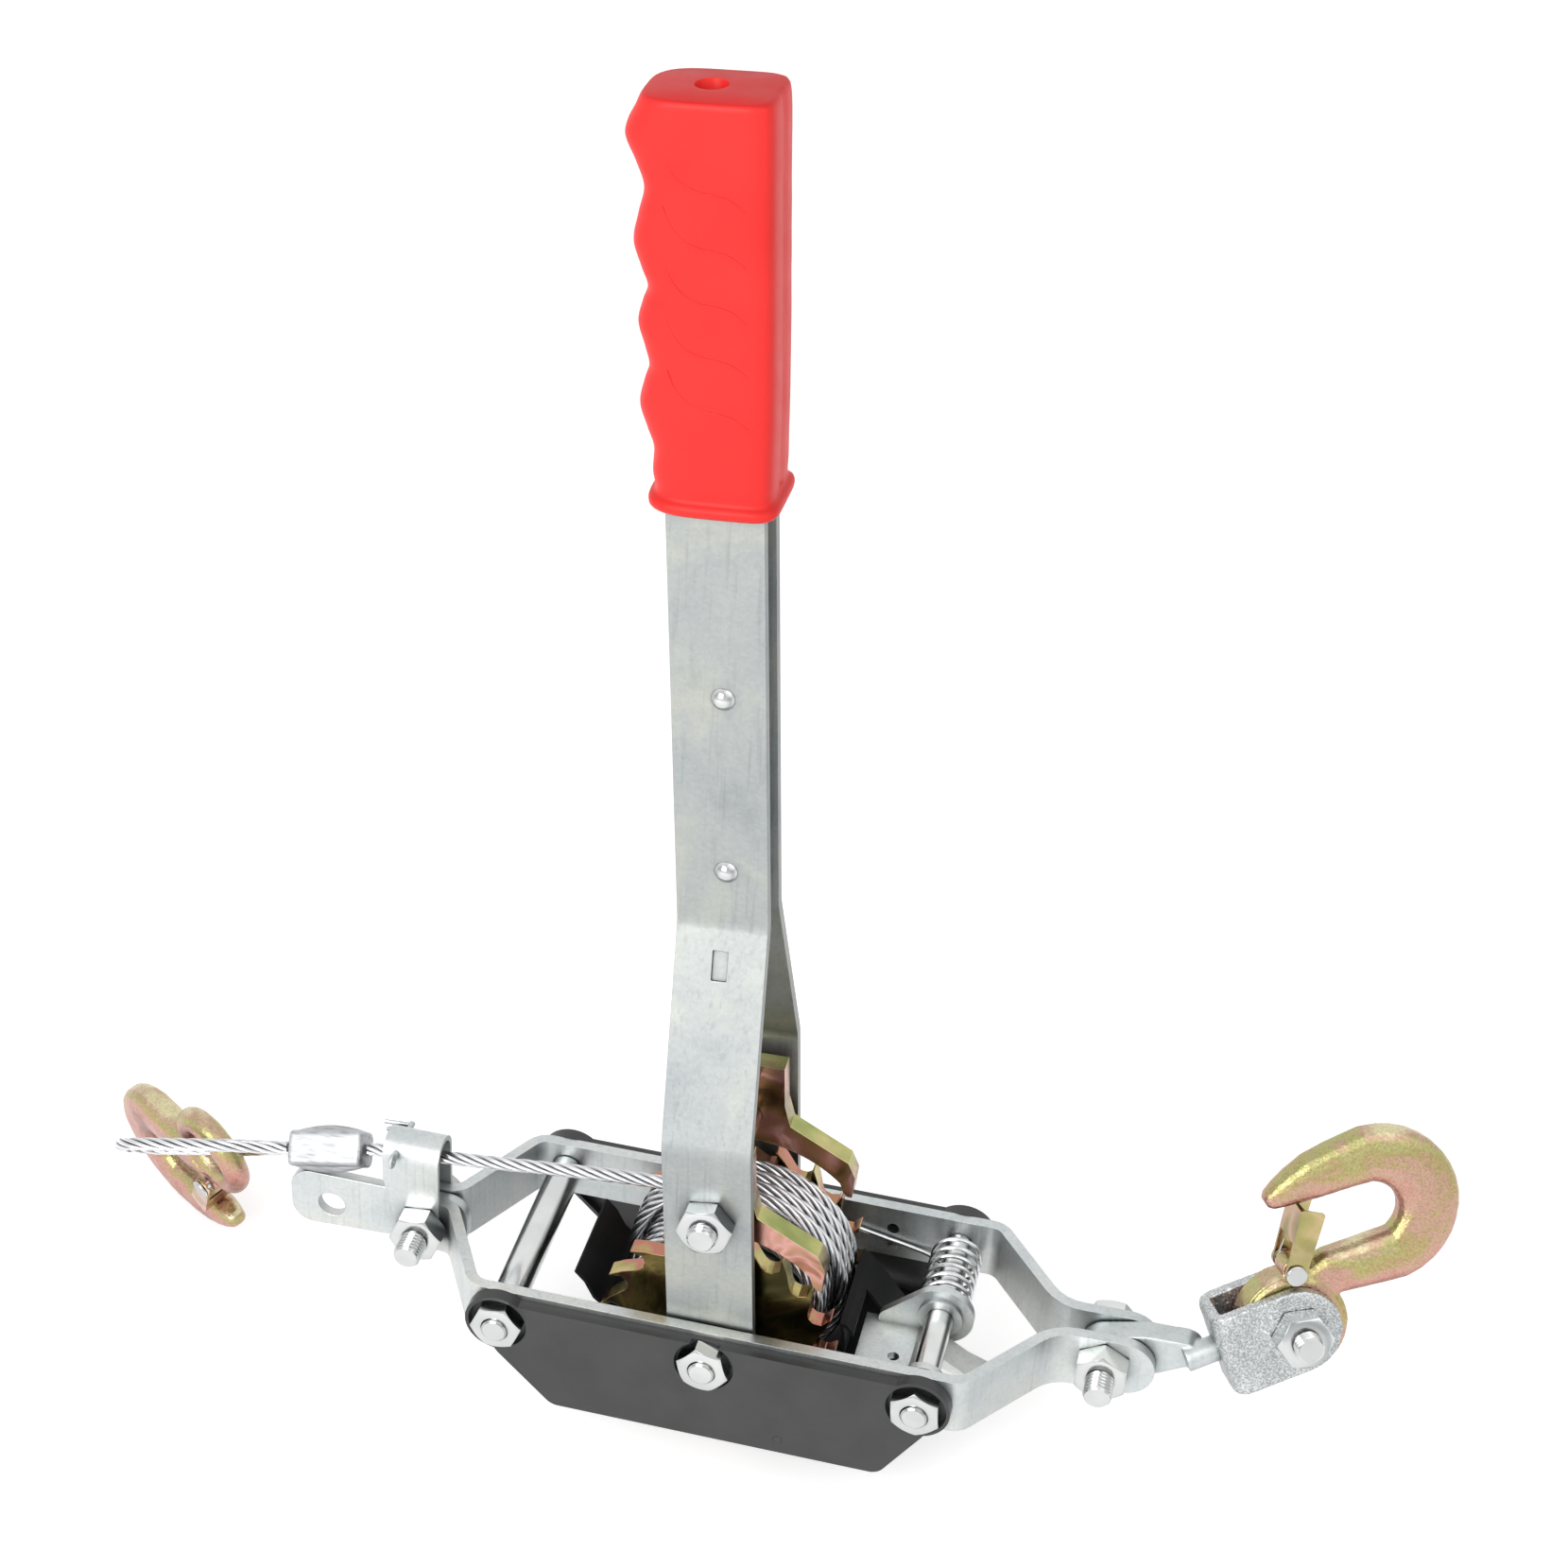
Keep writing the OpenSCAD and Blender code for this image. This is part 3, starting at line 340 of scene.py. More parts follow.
def plated(name, stains, rough_low, rough_high):
    """Zinc over rolled steel: stains, fine spangle and long rolling marks, with painted light and shade:
    darker below, to the right and in grooves and corners.
    """
    f = Finish(name, 0.4, 1.0)
    tone = f.ramp(f.noise(22, 4.0, distortion=0.8), stains)
    spangle = f.ramp(f.cells(900), [(0.0, 0.91, 0.92, 0.92), (1.0, 1.0, 1.0, 1.0)])
    # Painted light and shade: faces turned up lighter, undersides darker.
    painted_light_from_above = f.upward([(0.0, 0.40, 0.41, 0.42), (0.42, 0.92, 0.92, 0.92), (0.9, 1.0, 1.0, 1.0)])
    # Painted shade: faces turned to the right (+X) darker, where the fill light is weaker.
    side = f.ramp(f.facing("X", 0.0, 1.0),
                  [(0.0, 1.0, 1.0, 1.0), (0.6, 0.98, 0.98, 0.98), (1.0, 0.72, 0.73, 0.74)])
    colour = f.times(tone, spangle, painted_light_from_above, side)
    rolled = f.noise(1.0, 5.0, f.stretched((700, 700, 35)))
    marks = f.ramp(rolled, [(0.30, 0.80, 0.81, 0.81), (0.46, 1.0, 1.0, 1.0)])
    colour = f.mix(0.6, colour, f.times(colour, marks))
    # Painted shade in grooves and corners.
    colour = f.times(colour, f.recess_shade(0.005, 0.35))
    grain = f.relief(f.noise(1400, 3.0), 0.00006, 0.5, f.relief(rolled, 0.00010, 0.4))
    return f.use(Base_Color=colour, Roughness=f.uneven(120, 5.0, rough_low, rough_high), Normal=grain)


def zinc_plate():
    """Bright cool zinc on the frame."""
    stains = [(0.30, 0.56, 0.60, 0.60), (0.46, 0.66, 0.69, 0.69),
              (0.60, 0.70, 0.71, 0.68), (0.76, 0.78, 0.80, 0.80)]
    return plated("zinc_plate_finish", stains, 0.34, 0.50)


def strip_zinc():
    """Duller zinc on the handle strips, with warm stains."""
    stains = [(0.28, 0.36, 0.38, 0.39), (0.42, 0.42, 0.44, 0.44), (0.52, 0.44, 0.46, 0.45),
              (0.62, 0.49, 0.50, 0.46), (0.76, 0.52, 0.54, 0.54)]
    return plated("strip_zinc_finish", stains, 0.40, 0.56)


def yellow_zinc():
    """Iridescent yellow chromate, its colour set by facing as painted reflection: green gold on upward faces,
    pink and dark brown on upright ones, with a painted highlight on rounded edges.
    """
    f = Finish("yellow_zinc_finish", 0.24, 1.0)
    film = f.noise(55, 2.0, distortion=0.8)
    upright = f.ramp(film, [(0.32, 0.10, 0.050, 0.022), (0.42, 0.26, 0.14, 0.060), (0.49, 0.38, 0.17, 0.12),
                            (0.55, 0.64, 0.34, 0.29), (0.61, 0.44, 0.24, 0.15), (0.70, 0.20, 0.14, 0.05)])
    upward = f.ramp(f.noise(44, 2.0), [(0.34, 0.30, 0.34, 0.12), (0.48, 0.46, 0.47, 0.18),
                                       (0.60, 0.64, 0.54, 0.26), (0.74, 0.70, 0.40, 0.30)])
    # Painted reflection: upward faces take the bright green gold, upright ones the pink and dark brown; the
    # noise gives the film's own patches.
    colour = f.mix(f.mask(f.facing("Z", 0.0, 1.0), 0.52, 0.72), upright, upward)
    # Painted highlight along the rounded edges.
    edge_highlight_mask = f.ramp(f.across("Y"),
                          [(0.30, 0.0, 0.0, 0.0), (0.60, 0.8, 0.8, 0.8), (0.90, 0.0, 0.0, 0.0)])
    edge_highlight = f.ramp(f.noise(80, 2.0), [(0.40, 0.78, 0.74, 0.46), (0.60, 0.90, 0.70, 0.48)])
    colour = f.mix(edge_highlight_mask, colour, edge_highlight)
    dull = f.ramp(f.noise(160, 4.0), [(0.35, 0.84, 0.84, 0.84), (0.65, 1.0, 1.0, 1.0)])
    grain = f.relief(f.noise(900, 4.0), 0.00003, 0.4)
    return f.use(Base_Color=f.times(colour, dull), Roughness=f.uneven(200, 4.0, 0.14, 0.32), Normal=grain)


def wheel_yellow_zinc():
    """The same chromate on the cut wheels: dark olive and brown faces, darkened as painted shade and dark
    reflection, and bright edges with painted highlights.
    """
    f = Finish("wheel_yellow_zinc_finish", 0.24, 1.0)
    film = f.noise(34, 3.0, distortion=1.4)
    # The film's olive and brown on the wheel faces, darkened as painted shade and dark reflection.
    face = f.ramp(film, [(0.30, 0.020, 0.018, 0.010), (0.44, 0.060, 0.048, 0.016),
                         (0.52, 0.160, 0.120, 0.040), (0.60, 0.110, 0.052, 0.034),
                         (0.72, 0.030, 0.036, 0.014)])
    # Painted highlights on the edges.
    edge_highlight = f.ramp(f.noise(60, 3.0), [(0.30, 0.36, 0.22, 0.08), (0.46, 0.50, 0.20, 0.16),
                                     (0.56, 0.42, 0.38, 0.14), (0.72, 0.66, 0.50, 0.28)])
    colour = f.mix(f.mask(f.across("Y"), 0.45, 0.85), edge_highlight, face)
    grain = f.relief(f.noise(700, 4.0), 0.00004, 0.4)
    return f.use(Base_Color=colour, Roughness=f.uneven(200, 4.0, 0.14, 0.34), Normal=grain)


def forged_yellow_zinc():
    """The same film on a forged surface, partly coloured by facing as painted light: green gold above, rose
    in the middle, brown in painted shade below, all glinting.
    """
    f = Finish("forged_yellow_zinc_finish", 0.30, 1.0)
    # Painted light and shade: upward facing moves the colour toward the lit green gold, downward toward
    # brown, over the film's own clouds.
    clouds = f.add(f.facing("Z", 0.0, 0.6), f.noise(45, 3.0, distortion=0.5), 0.5)
    height = f.add(clouds, f.noise(300, 3.0), 0.15)
    colour = f.ramp(height, [(0.34, 0.14, 0.065, 0.042), (0.48, 0.36, 0.17, 0.13), (0.57, 0.58, 0.30, 0.25),
                             (0.66, 0.56, 0.36, 0.27), (0.73, 0.48, 0.38, 0.18), (0.80, 0.46, 0.45, 0.19),
                             (0.87, 0.56, 0.38, 0.27), (0.96, 0.74, 0.68, 0.42)])
    dull = f.ramp(f.noise(1300, 3.0), [(0.34, 0.78, 0.76, 0.75), (0.60, 1.0, 1.0, 1.0)])
    pits = f.relief(f.noise(900, 6.0), 0.00030, 0.9)
    return f.use(Base_Color=f.times(colour, dull), Roughness=f.uneven(260, 4.0, 0.20, 0.44), Normal=pits)


def black_paint():
    """Satin black enamel with a fine orange peel and faint dust."""
    f = Finish("black_paint_finish", 0.42, 0.0, Coat_Weight=0.15, Coat_Roughness=0.3)
    dust = f.ramp(f.noise(60, 6.0), [(0.35, 0.022, 0.022, 0.023), (0.75, 0.036, 0.036, 0.038)])
    peel = f.relief(f.noise(650, 2.0), 0.00006, 0.5)
    return f.use(Base_Color=dust, Roughness=f.uneven(90, 4.0, 0.34, 0.50), Normal=peel)


def guard_black():
    """Thin dull paint on the drum guard, near black, partly standing in as a dark sheet for shade under the
    drum.
    """
    f = Finish("guard_black_finish", 0.55, 0.0, Specular_IOR_Level=0.15)
    colour = f.ramp(f.noise(70, 5.0), [(0.35, 0.005, 0.005, 0.005), (0.75, 0.011, 0.011, 0.012)])
    scratches = f.relief(f.noise(1.0, 4.0, f.stretched((60, 900, 900))), 0.00004, 0.4)
    return f.use(Base_Color=colour, Roughness=f.uneven(120, 4.0, 0.45, 0.65), Normal=scratches)


def red_vinyl():
    """Moulded red vinyl: slightly cloudy, with a fine matt skin and a darker top."""
    f = Finish("red_vinyl_finish", 0.42, 0.0,
               Subsurface_Weight=0.08, Subsurface_Scale=0.002, Specular_IOR_Level=0.3)
    clouds = f.ramp(f.noise(35, 4.0), [(0.3, 0.82, 0.024, 0.020), (0.7, 0.88, 0.031, 0.026)])
    top = f.upward([(0.70, 1.0, 1.0, 1.0), (0.97, 0.80, 0.40, 0.40)])
    skin_grain = f.relief(f.noise(1100, 3.0), 0.00005, 0.5)
    return f.use(Base_Color=f.times(clouds, top), Roughness=f.uneven(140, 5.0, 0.36, 0.52), Normal=skin_grain)


def wire_rope():
    """Galvanised rope: painted shade in the grooves between the strands, and fine wires along each of them.
    """
    f = Finish("wire_rope_finish", 0.28, 1.0)
    uv = f.node("ShaderNodeUVMap", uv_map="rope").outputs["UV"]
    parts = f.node("ShaderNodeSeparateXYZ")
    f.link(uv, parts.inputs["Vector"])
    strand = f.node("ShaderNodeMath", operation="PINGPONG")
    f.link(parts.outputs["X"], strand.inputs[0])
    strand.inputs[1].default_value = 0.5
    # Painted shade in the grooves between the strands.
    groove_shade = f.ramp(f.spread(strand.outputs[0], 0.0, 2.0),
                    [(0.0, 1.0, 1.0, 1.0), (0.5, 0.95, 0.95, 0.96),
                     (0.78, 0.58, 0.58, 0.59), (1.0, 0.20, 0.20, 0.21)])
    wires = f.node("ShaderNodeTexWave", Scale=1.27, Distortion=0.0, bands_direction="X")
    f.link(uv, wires.inputs["Vector"])
    tone = f.ramp(f.noise(90, 3.0), [(0.3, 0.72, 0.73, 0.74), (0.7, 0.94, 0.94, 0.95)])
    lines = f.ramp(wires.outputs["Fac"], [(0.0, 0.74, 0.74, 0.75), (0.5, 1.0, 1.0, 1.0)])
    return f.use(Base_Color=f.times(tone, lines, groove_shade), Roughness=f.uneven(220, 3.0, 0.18, 0.30),
                 Normal=f.relief(wires.outputs["Fac"], 0.00005, 0.4))


def ferrule_alloy():
    """Pressed aluminium, grey and scuffed along its length, with painted shade on its undersides."""
    f = Finish("ferrule_alloy_finish", 0.40, 1.0)
    tone = f.ramp(f.noise(60, 5.0),
                  [(0.32, 0.40, 0.41, 0.42), (0.48, 0.52, 0.53, 0.54), (0.7, 0.60, 0.61, 0.62)])
    # Painted light and shade: undersides darker, faces turned up lighter.
    side = f.upward([(0.0, 0.40, 0.40, 0.41), (0.5, 0.84, 0.84, 0.85), (0.9, 1.0, 1.0, 1.0)])
    scuffs = f.noise(1.0, 5.0, f.stretched((60, 900, 900)))
    worn = f.ramp(scuffs, [(0.36, 0.72, 0.72, 0.73), (0.52, 1.0, 1.0, 1.0)])
    return f.use(Base_Color=f.times(tone, side, worn), Roughness=f.uneven(300, 4.0, 0.30, 0.50),
                 Normal=f.relief(scuffs, 0.00006, 0.6))


def spring_steel():
    """Bright drawn spring wire."""
    f = Finish("spring_steel_finish", 0.22, 1.0)
    tone = f.ramp(f.noise(220, 3.0), [(0.3, 0.58, 0.59, 0.60), (0.7, 0.76, 0.77, 0.78)])
    return f.use(Base_Color=tone, Roughness=f.uneven(400, 3.0, 0.16, 0.30),
                 Normal=f.relief(f.noise(1500, 2.0), 0.00003, 0.4))


def cast_zinc():
    """Cast steel under bright zinc, rough all over, with painted shade on its undersides."""
    f = Finish("cast_zinc_finish", 0.34, 1.0)
    tone = f.ramp(f.noise(70, 4.0), [(0.3, 0.50, 0.52, 0.52), (0.7, 0.70, 0.71, 0.71)])
    # Painted light and shade: undersides darker, faces turned up lighter.
    side = f.upward([(0.0, 0.35, 0.36, 0.36), (0.45, 0.82, 0.83, 0.83), (0.9, 1.0, 1.0, 1.0)])
    speckle = f.ramp(f.noise(1500, 3.0),
                     [(0.36, 0.62, 0.63, 0.64), (0.50, 0.84, 0.85, 0.85), (0.60, 1.2, 1.2, 1.2)])
    rough = f.relief(f.noise(900, 6.0), 0.0005, 0.9)
    return f.use(Base_Color=f.times(tone, side, speckle),
                 Roughness=f.uneven(180, 4.0, 0.24, 0.46), Normal=rough)


def bright_bolt():
    """Zinc on machined nuts and bolts, with painted reflection bands by facing and painted shade in the
    thread grooves.
    """
    f = Finish("bright_bolt_finish", 0.20, 1.0)
    tone = f.ramp(f.noise(60, 3.0), [(0.3, 0.66, 0.68, 0.68), (0.7, 0.80, 0.81, 0.80)])
    # Painted reflection: bright and dark bands by how far a face turns up.
    reflection_bands = f.upward([(0.0, 0.40, 0.41, 0.42), (0.40, 0.90, 0.90, 0.90), (0.66, 0.78, 0.79, 0.80),
                       (0.84, 0.24, 0.25, 0.26), (0.925, 0.98, 0.98, 0.96), (1.0, 1.0, 1.0, 1.0)])
    # Painted reflection on faces that look along Y: nut faces and ends.
    end_face_reflection = f.ramp(f.across("Y"), [(0.55, 1.0, 1.0, 1.0), (0.80, 0.50, 0.51, 0.52), (0.95, 0.80, 0.80, 0.80)])
    # Both painted reflections, blended by facing.
    turned = f.mix(f.mask(f.across("Y"), 0.30, 0.55), reflection_bands, end_face_reflection)
    # Painted shade in the thread grooves.
    return f.use(Base_Color=f.times(tone, turned, f.recess_shade(0.0013, 0.10)),
                 Roughness=f.uneven(180, 4.0, 0.12, 0.26), Normal=f.relief(f.noise(500, 3.0), 0.00001, 0.3))


FINISHES = {
    "zinc_plate": zinc_plate(),
    "strip_zinc": strip_zinc(),
    "yellow_zinc": yellow_zinc(),
    "wheel_yellow_zinc": wheel_yellow_zinc(),
    "forged_yellow_zinc": forged_yellow_zinc(),
    "black_paint": black_paint(),
    "guard_black": guard_black(),
    "red_grip": red_vinyl(),
    "wire_rope": wire_rope(),
    "ferrule_alloy": ferrule_alloy(),
    "spring_steel": spring_steel(),
    "cast_zinc": cast_zinc(),
    "bright_bolt": bright_bolt(),
}


# ---------- mesh helpers ----------

# Edges sharper than this angle stay creased
SHARP_ANGLE = 32

# Step along a tube, and steps of a spline between two of its points
TUBE_STEP = 0.8
SPLINE_STEPS = 12


def finish_piece(piece, finish, nodes):
    """Give a new piece its material and body, and hide the nodes that it stands for."""
    piece.data.materials.clear()
    piece.data.materials.append(FINISHES[finish])
    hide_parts(*nodes)
    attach(piece, BODY_OF[nodes[0]])
    return piece


def shade(mesh, sharp_angle):
    """Smooth shading with sharp creases."""
    for polygon in mesh.polygons:
        polygon.use_smooth = True
    mesh.set_sharp_from_angle(angle=math.radians(sharp_angle))


def from_shapes(name, shapes, finish, nodes, sharp_angle=SHARP_ANGLE):
    """One piece from (vertices, faces, matrix) shapes in millimetres about the axle."""
    vertices, faces = [], []
    for shape_vertices, shape_faces, matrix in shapes:
        start = len(vertices)
        place = TO_FRAME @ matrix
        vertices += [place @ Vector(v) for v in shape_vertices]
        faces += [[start + i for i in face] for face in shape_faces]
    mesh = bpy.data.meshes.new(name)
    mesh.from_pydata(vertices, [], faces)
    bm = bmesh.new()
    bm.from_mesh(mesh)
    bmesh.ops.recalc_face_normals(bm, faces=bm.faces)
    bm.to_mesh(mesh)
    bm.free()
    shade(mesh, sharp_angle)
    piece = bpy.data.objects.new(name, mesh)
    bpy.context.scene.collection.objects.link(piece)
    return finish_piece(piece, finish, nodes)


def skin(rings, closed_ends=True):
    """Vertices and faces through rings of points."""
    count = len(rings[0])
    vertices = [p for ring in rings for p in ring]
    faces = []
    for j in range(len(rings) - 1):
        for i in range(count):
            k = (i + 1) % count
            faces.append([j * count + i, j * count + k, (j + 1) * count + k, (j + 1) * count + i])
    if closed_ends:
        faces.append(list(range(count - 1, -1, -1)))
        faces.append([(len(rings) - 1) * count + i for i in range(count)])
    return vertices, faces


def frames_along(path):
    """Tangent, side and up at each point of a path, turned as little as possible."""
    made = []
    side = None
    for i, point in enumerate(path):
        tangent = (path[min(i + 1, len(path) - 1)] - path[max(i - 1, 0)]).normalized()
        if side is None:
            side = tangent.orthogonal().normalized()
        side = (side - side.dot(tangent) * tangent).normalized()
        made.append((point, tangent, side, tangent.cross(side)))
    return made


def spline(points):
    """Catmull-Rom line through points."""
    made = []
    for i in range(len(points) - 1):
        before = points[max(i - 1, 0)]
        start, end = points[i], points[i + 1]
        after = points[min(i + 2, len(points) - 1)]
        for k in range(SPLINE_STEPS):
            t = k / SPLINE_STEPS
            made.append(0.5 * ((2 * start) + (end - before) * t
                               + (2 * before - 5 * start + 4 * end - after) * t * t
                               + (3 * start - before - 3 * end + after) * t ** 3))
    made.append(points[-1])
    return made


def smooth_path(points, step):
    """Smooth line through points, at about even steps."""
    fine = spline([Vector(p) for p in points])
    total = sum((b - a).length for a, b in zip(fine, fine[1:]))
    count = max(2, round(total / step))
    even = [fine[0]]
    travelled = 0.0
    for a, b in zip(fine, fine[1:]):
        length = (b - a).length
        while len(even) < count and travelled + length >= total * len(even) / count:
            t = (total * len(even) / count - travelled) / length
            even.append(a.lerp(b, t))
        travelled += length
    even.append(fine[-1])
    return even


def around(sides):
    """Even angles round a full turn."""
    return [2 * math.pi * k / sides for k in range(sides)]


def circle(radius, height, sides, centre=(0, 0)):
    """Ring of points about local Z."""
    return [Vector((centre[0] + radius * math.cos(a), centre[1] + radius * math.sin(a), height))
            for a in around(sides)]


def tube(points, radius, sides=12):
    """Round tube along a smooth line."""
    rings = []
    for point, _, side, up in frames_along(smooth_path(points, TUBE_STEP)):
        rings.append([point + radius * (math.cos(a) * side + math.sin(a) * up) for a in around(sides)])
    return skin(rings)


def lathe(profile, sides=48):
    """Solid turned about local Z from (radius, height) points."""
    return skin([circle(radius, height, sides) for radius, height in profile])


# The M10 thread of every rod and bolt
THREAD_RADIUS = 5.0
THREAD_PITCH = 1.5
THREAD_DEPTH = 0.58 * THREAD_PITCH
THREAD_ROOT_POWER = 0.9
THREAD_END_CUT = 0.9
THREAD_SIDES = 36
RINGS_PER_PITCH = 8


def threads(low, high):
    """Screw thread about local Z with a chamfered end at high."""
    rings = []
    steps = max(2, round((high - low) / THREAD_PITCH * RINGS_PER_PITCH))
    for i in range(steps + 1):
        z = low + (high - low) * i / steps
        ring = []
        for k, a in enumerate(around(THREAD_SIDES)):
            phase = (z / THREAD_PITCH - k / THREAD_SIDES) % 1.0
            depth = THREAD_DEPTH * (1 - abs(2 * phase - 1)) ** THREAD_ROOT_POWER
            r = min(THREAD_RADIUS - depth, THREAD_RADIUS - THREAD_END_CUT + (high - z))
            ring.append(Vector((r * math.cos(a), r * math.sin(a), z)))
        rings.append(ring)
    return skin(rings)


HEX_SIDES = 72

# Rounded corner and chamfer circle, as parts of the half width across the flats
HEX_CORNER = 1.152
HEX_CHAMFER = 0.96

# Drop of the chamfer by its reach, and the part of it that the underside has
CHAMFER_SLOPE = 0.62
UNDERSIDE_PART = 0.55
BORE_CHAMFER = 0.7


def hexagon(flats, angle):
    """Radius of a hexagon at an angle."""
    part = (angle + math.pi / 6) % (math.pi / 3) - math.pi / 6
    return min(flats / 2 / math.cos(part), flats / 2 * HEX_CORNER)


def hex_prism(flats, low, high, bore=0.0):
    """Nut or bolt head about local Z, chamfered at its free face and eased at the other."""
    inner = flats / 2 * HEX_CHAMFER

    def outline(height_of):
        made = []
        for a in around(HEX_SIDES):
            radius = hexagon(flats, a)
            height = height_of((radius - inner) * CHAMFER_SLOPE)
            made.append(Vector((radius * math.cos(a), radius * math.sin(a), height)))
        return made

    rings = [
        circle(inner, low, HEX_SIDES),
        outline(lambda drop: low + drop * UNDERSIDE_PART),
        outline(lambda drop: high - drop),
        circle(inner, high, HEX_SIDES),
    ]
    if not bore:
        return skin(rings)
    rings.insert(0, circle(bore, low, HEX_SIDES))
    rings += [circle(bore + BORE_CHAMFER, high, HEX_SIDES),
              circle(bore, high - BORE_CHAMFER, HEX_SIDES),
              circle(bore, low, HEX_SIDES)]
    return skin(rings, closed_ends=False)


# Points nearer than this, in metres, are one, and faces within this angle are one flat face
WELD_REACH = 1e-6
FLAT_ANGLE = 0.5

BEVEL_FROM_ANGLE = 30
BEVEL_SEGMENTS = 2
FLAT_FACE_WEIGHT = 90

# Roughness, ratio of scales and layers of the uneven surface of a forging
UNEVEN = (0.9, 2.1, 4)


def cad_copy(node):
    """Clean copy of a CAD node's mesh."""
    bm = bmesh.new()
    bm.from_mesh(frame["nodes"][node].data)
    bmesh.ops.remove_doubles(bm, verts=bm.verts, dist=WELD_REACH)
    bmesh.ops.dissolve_limit(bm, angle_limit=math.radians(FLAT_ANGLE), verts=bm.verts, edges=bm.edges)
    mesh = bpy.data.meshes.new(node + "_shape")
    bm.to_mesh(mesh)
    bm.free()
    return mesh


def applied(piece):
    """Bake a piece's modifiers into its mesh."""
    mesh = bpy.data.meshes.new_from_object(piece.evaluated_get(bpy.context.evaluated_depsgraph_get()))
    piece.modifiers.clear()
    piece.data = mesh
    return piece


def eased(node, finish, width):
    """The node's shape with its edges rounded off."""
    piece = bpy.data.objects.new(node + "_eased", cad_copy(node))
    bpy.context.scene.collection.objects.link(piece)
    bevel = piece.modifiers.new("edges", "BEVEL")
    bevel.width = width * MM
    bevel.segments = BEVEL_SEGMENTS
    bevel.limit_method = "ANGLE"
    bevel.angle_limit = math.radians(BEVEL_FROM_ANGLE)
    bevel.harden_normals = False
    bevel.miter_outer = "MITER_ARC"
    for polygon in piece.data.polygons:
        polygon.use_smooth = True
    flatten = piece.modifiers.new("flat faces", "WEIGHTED_NORMAL")
    flatten.mode = "FACE_AREA"
    flatten.weight = FLAT_FACE_WEIGHT
    applied(piece)
    return finish_piece(piece, finish, [node])


def forged(node, finish, voxel, relief, scale, rounds):
    """The node's shape, rounded all over and slightly uneven, as a forging or casting is."""
    piece = bpy.data.objects.new(node + "_forged", cad_copy(node))
    bpy.context.scene.collection.objects.link(piece)
    remesh = piece.modifiers.new("skin", "REMESH")
    remesh.mode = "VOXEL"
    remesh.voxel_size = voxel * MM
    smooth = piece.modifiers.new("round", "SMOOTH")
    smooth.factor = 0.5
    smooth.iterations = rounds
    applied(piece)
    mesh = piece.data
    normals = [v.normal.copy() for v in mesh.vertices]
    for vertex, normal in zip(mesh.vertices, normals):
        height = noise.fractal(vertex.co / (scale * MM), *UNEVEN)
        vertex.co += normal * height * relief * MM
    for polygon in mesh.polygons:
        polygon.use_smooth = True
    return finish_piece(piece, finish, [node])


# ---------- cable ----------

ROPE_RADIUS = 2.4
WOUND_RADIUS = 2.5
ROPE_LAY = 36.0
ROPE_STEP = 1.2
ROPE_SHARP_ANGLE = 60
STRANDS = 6
POINTS_PER_STRAND = 9

# Distance of a strand's centre, its radius and the bottom of its grooves, for a rope of radius 1
STRAND_CENTRE = 2 / 3
STRAND_RADIUS = 1 / 3
GROOVE_BOTTOM = 0.62


def rope_profile():
    """(angle, radius) round six strands about the core, for a rope of radius 1."""
    made = []
    for strand in range(STRANDS):
        for k in range(POINTS_PER_STRAND):
            offset = (k / POINTS_PER_STRAND - 0.5) * 2 * math.pi / STRANDS
            chord_squared = STRAND_RADIUS ** 2 - (STRAND_CENTRE * math.sin(offset)) ** 2
            reach = STRAND_CENTRE * math.cos(offset) + math.sqrt(max(0.0, chord_squared))
            made.append((2 * math.pi * strand / STRANDS + offset, max(reach, GROOVE_BOTTOM)))
    return made


def rope_rings(line, profile, radius):
    """Points round the rope along its line, each with its (turns round, lays along)."""
    vertices, uvs = [], []
    travelled = 0.0
    for i, (point, _, side, up) in enumerate(frames_along(line)):
        if i:
            travelled += (point - line[i - 1]).length
        phase = 2 * math.pi * travelled / ROPE_LAY
        for angle, reach in profile:
            a = angle + phase
            vertices.append(TO_FRAME @ (point + radius * reach * (math.cos(a) * side + math.sin(a) * up)))
            uvs.append((angle / (2 * math.pi), travelled / ROPE_LAY))
    return vertices, uvs


def rope_faces(uvs, count):
    """Faces between rings of count points and over both ends, with the uv of every corner."""
    last = len(uvs) - count
    faces, face_uvs = [], []
    for start in range(0, last, count):
        for i in range(count):
            k = (i + 1) % count
            corner = [start + i, start + k, start + count + k, start + count + i]
            faces.append(corner)
            wrap = 1.0 if k == 0 else 0.0
            face_uvs += [uvs[corner[0]], (uvs[corner[1]][0] + wrap, uvs[corner[1]][1]),
                         (uvs[corner[2]][0] + wrap, uvs[corner[2]][1]), uvs[corner[3]]]
    for start, order in ((0, range(count - 1, -1, -1)), (last, range(count))):
        cap = [start + i for i in order]
        faces.append(cap)
        face_uvs += [uvs[i] for i in cap]
    return faces, face_uvs


def rope(name, path, nodes, radius=ROPE_RADIUS):
    """Six-strand rope along a line in millimetres about the axle; returns the piece and its centreline."""
    profile = rope_profile()
    line = smooth_path(path, ROPE_STEP)
    vertices, uvs = rope_rings(line, profile, radius)
    faces, face_uvs = rope_faces(uvs, len(profile))
    mesh = bpy.data.meshes.new(name)
    mesh.from_pydata(vertices, [], faces)
    layer = mesh.uv_layers.new(name="rope")
    for corner, (u, v) in zip(layer.data, face_uvs):
        corner.uv = (u * STRANDS, v * STRANDS)
    shade(mesh, ROPE_SHARP_ANGLE)
    piece = bpy.data.objects.new(name, mesh)
    bpy.context.scene.collection.objects.link(piece)
    finish_piece(piece, "wire_rope", nodes)
    return piece, [TO_FRAME @ p for p in line]


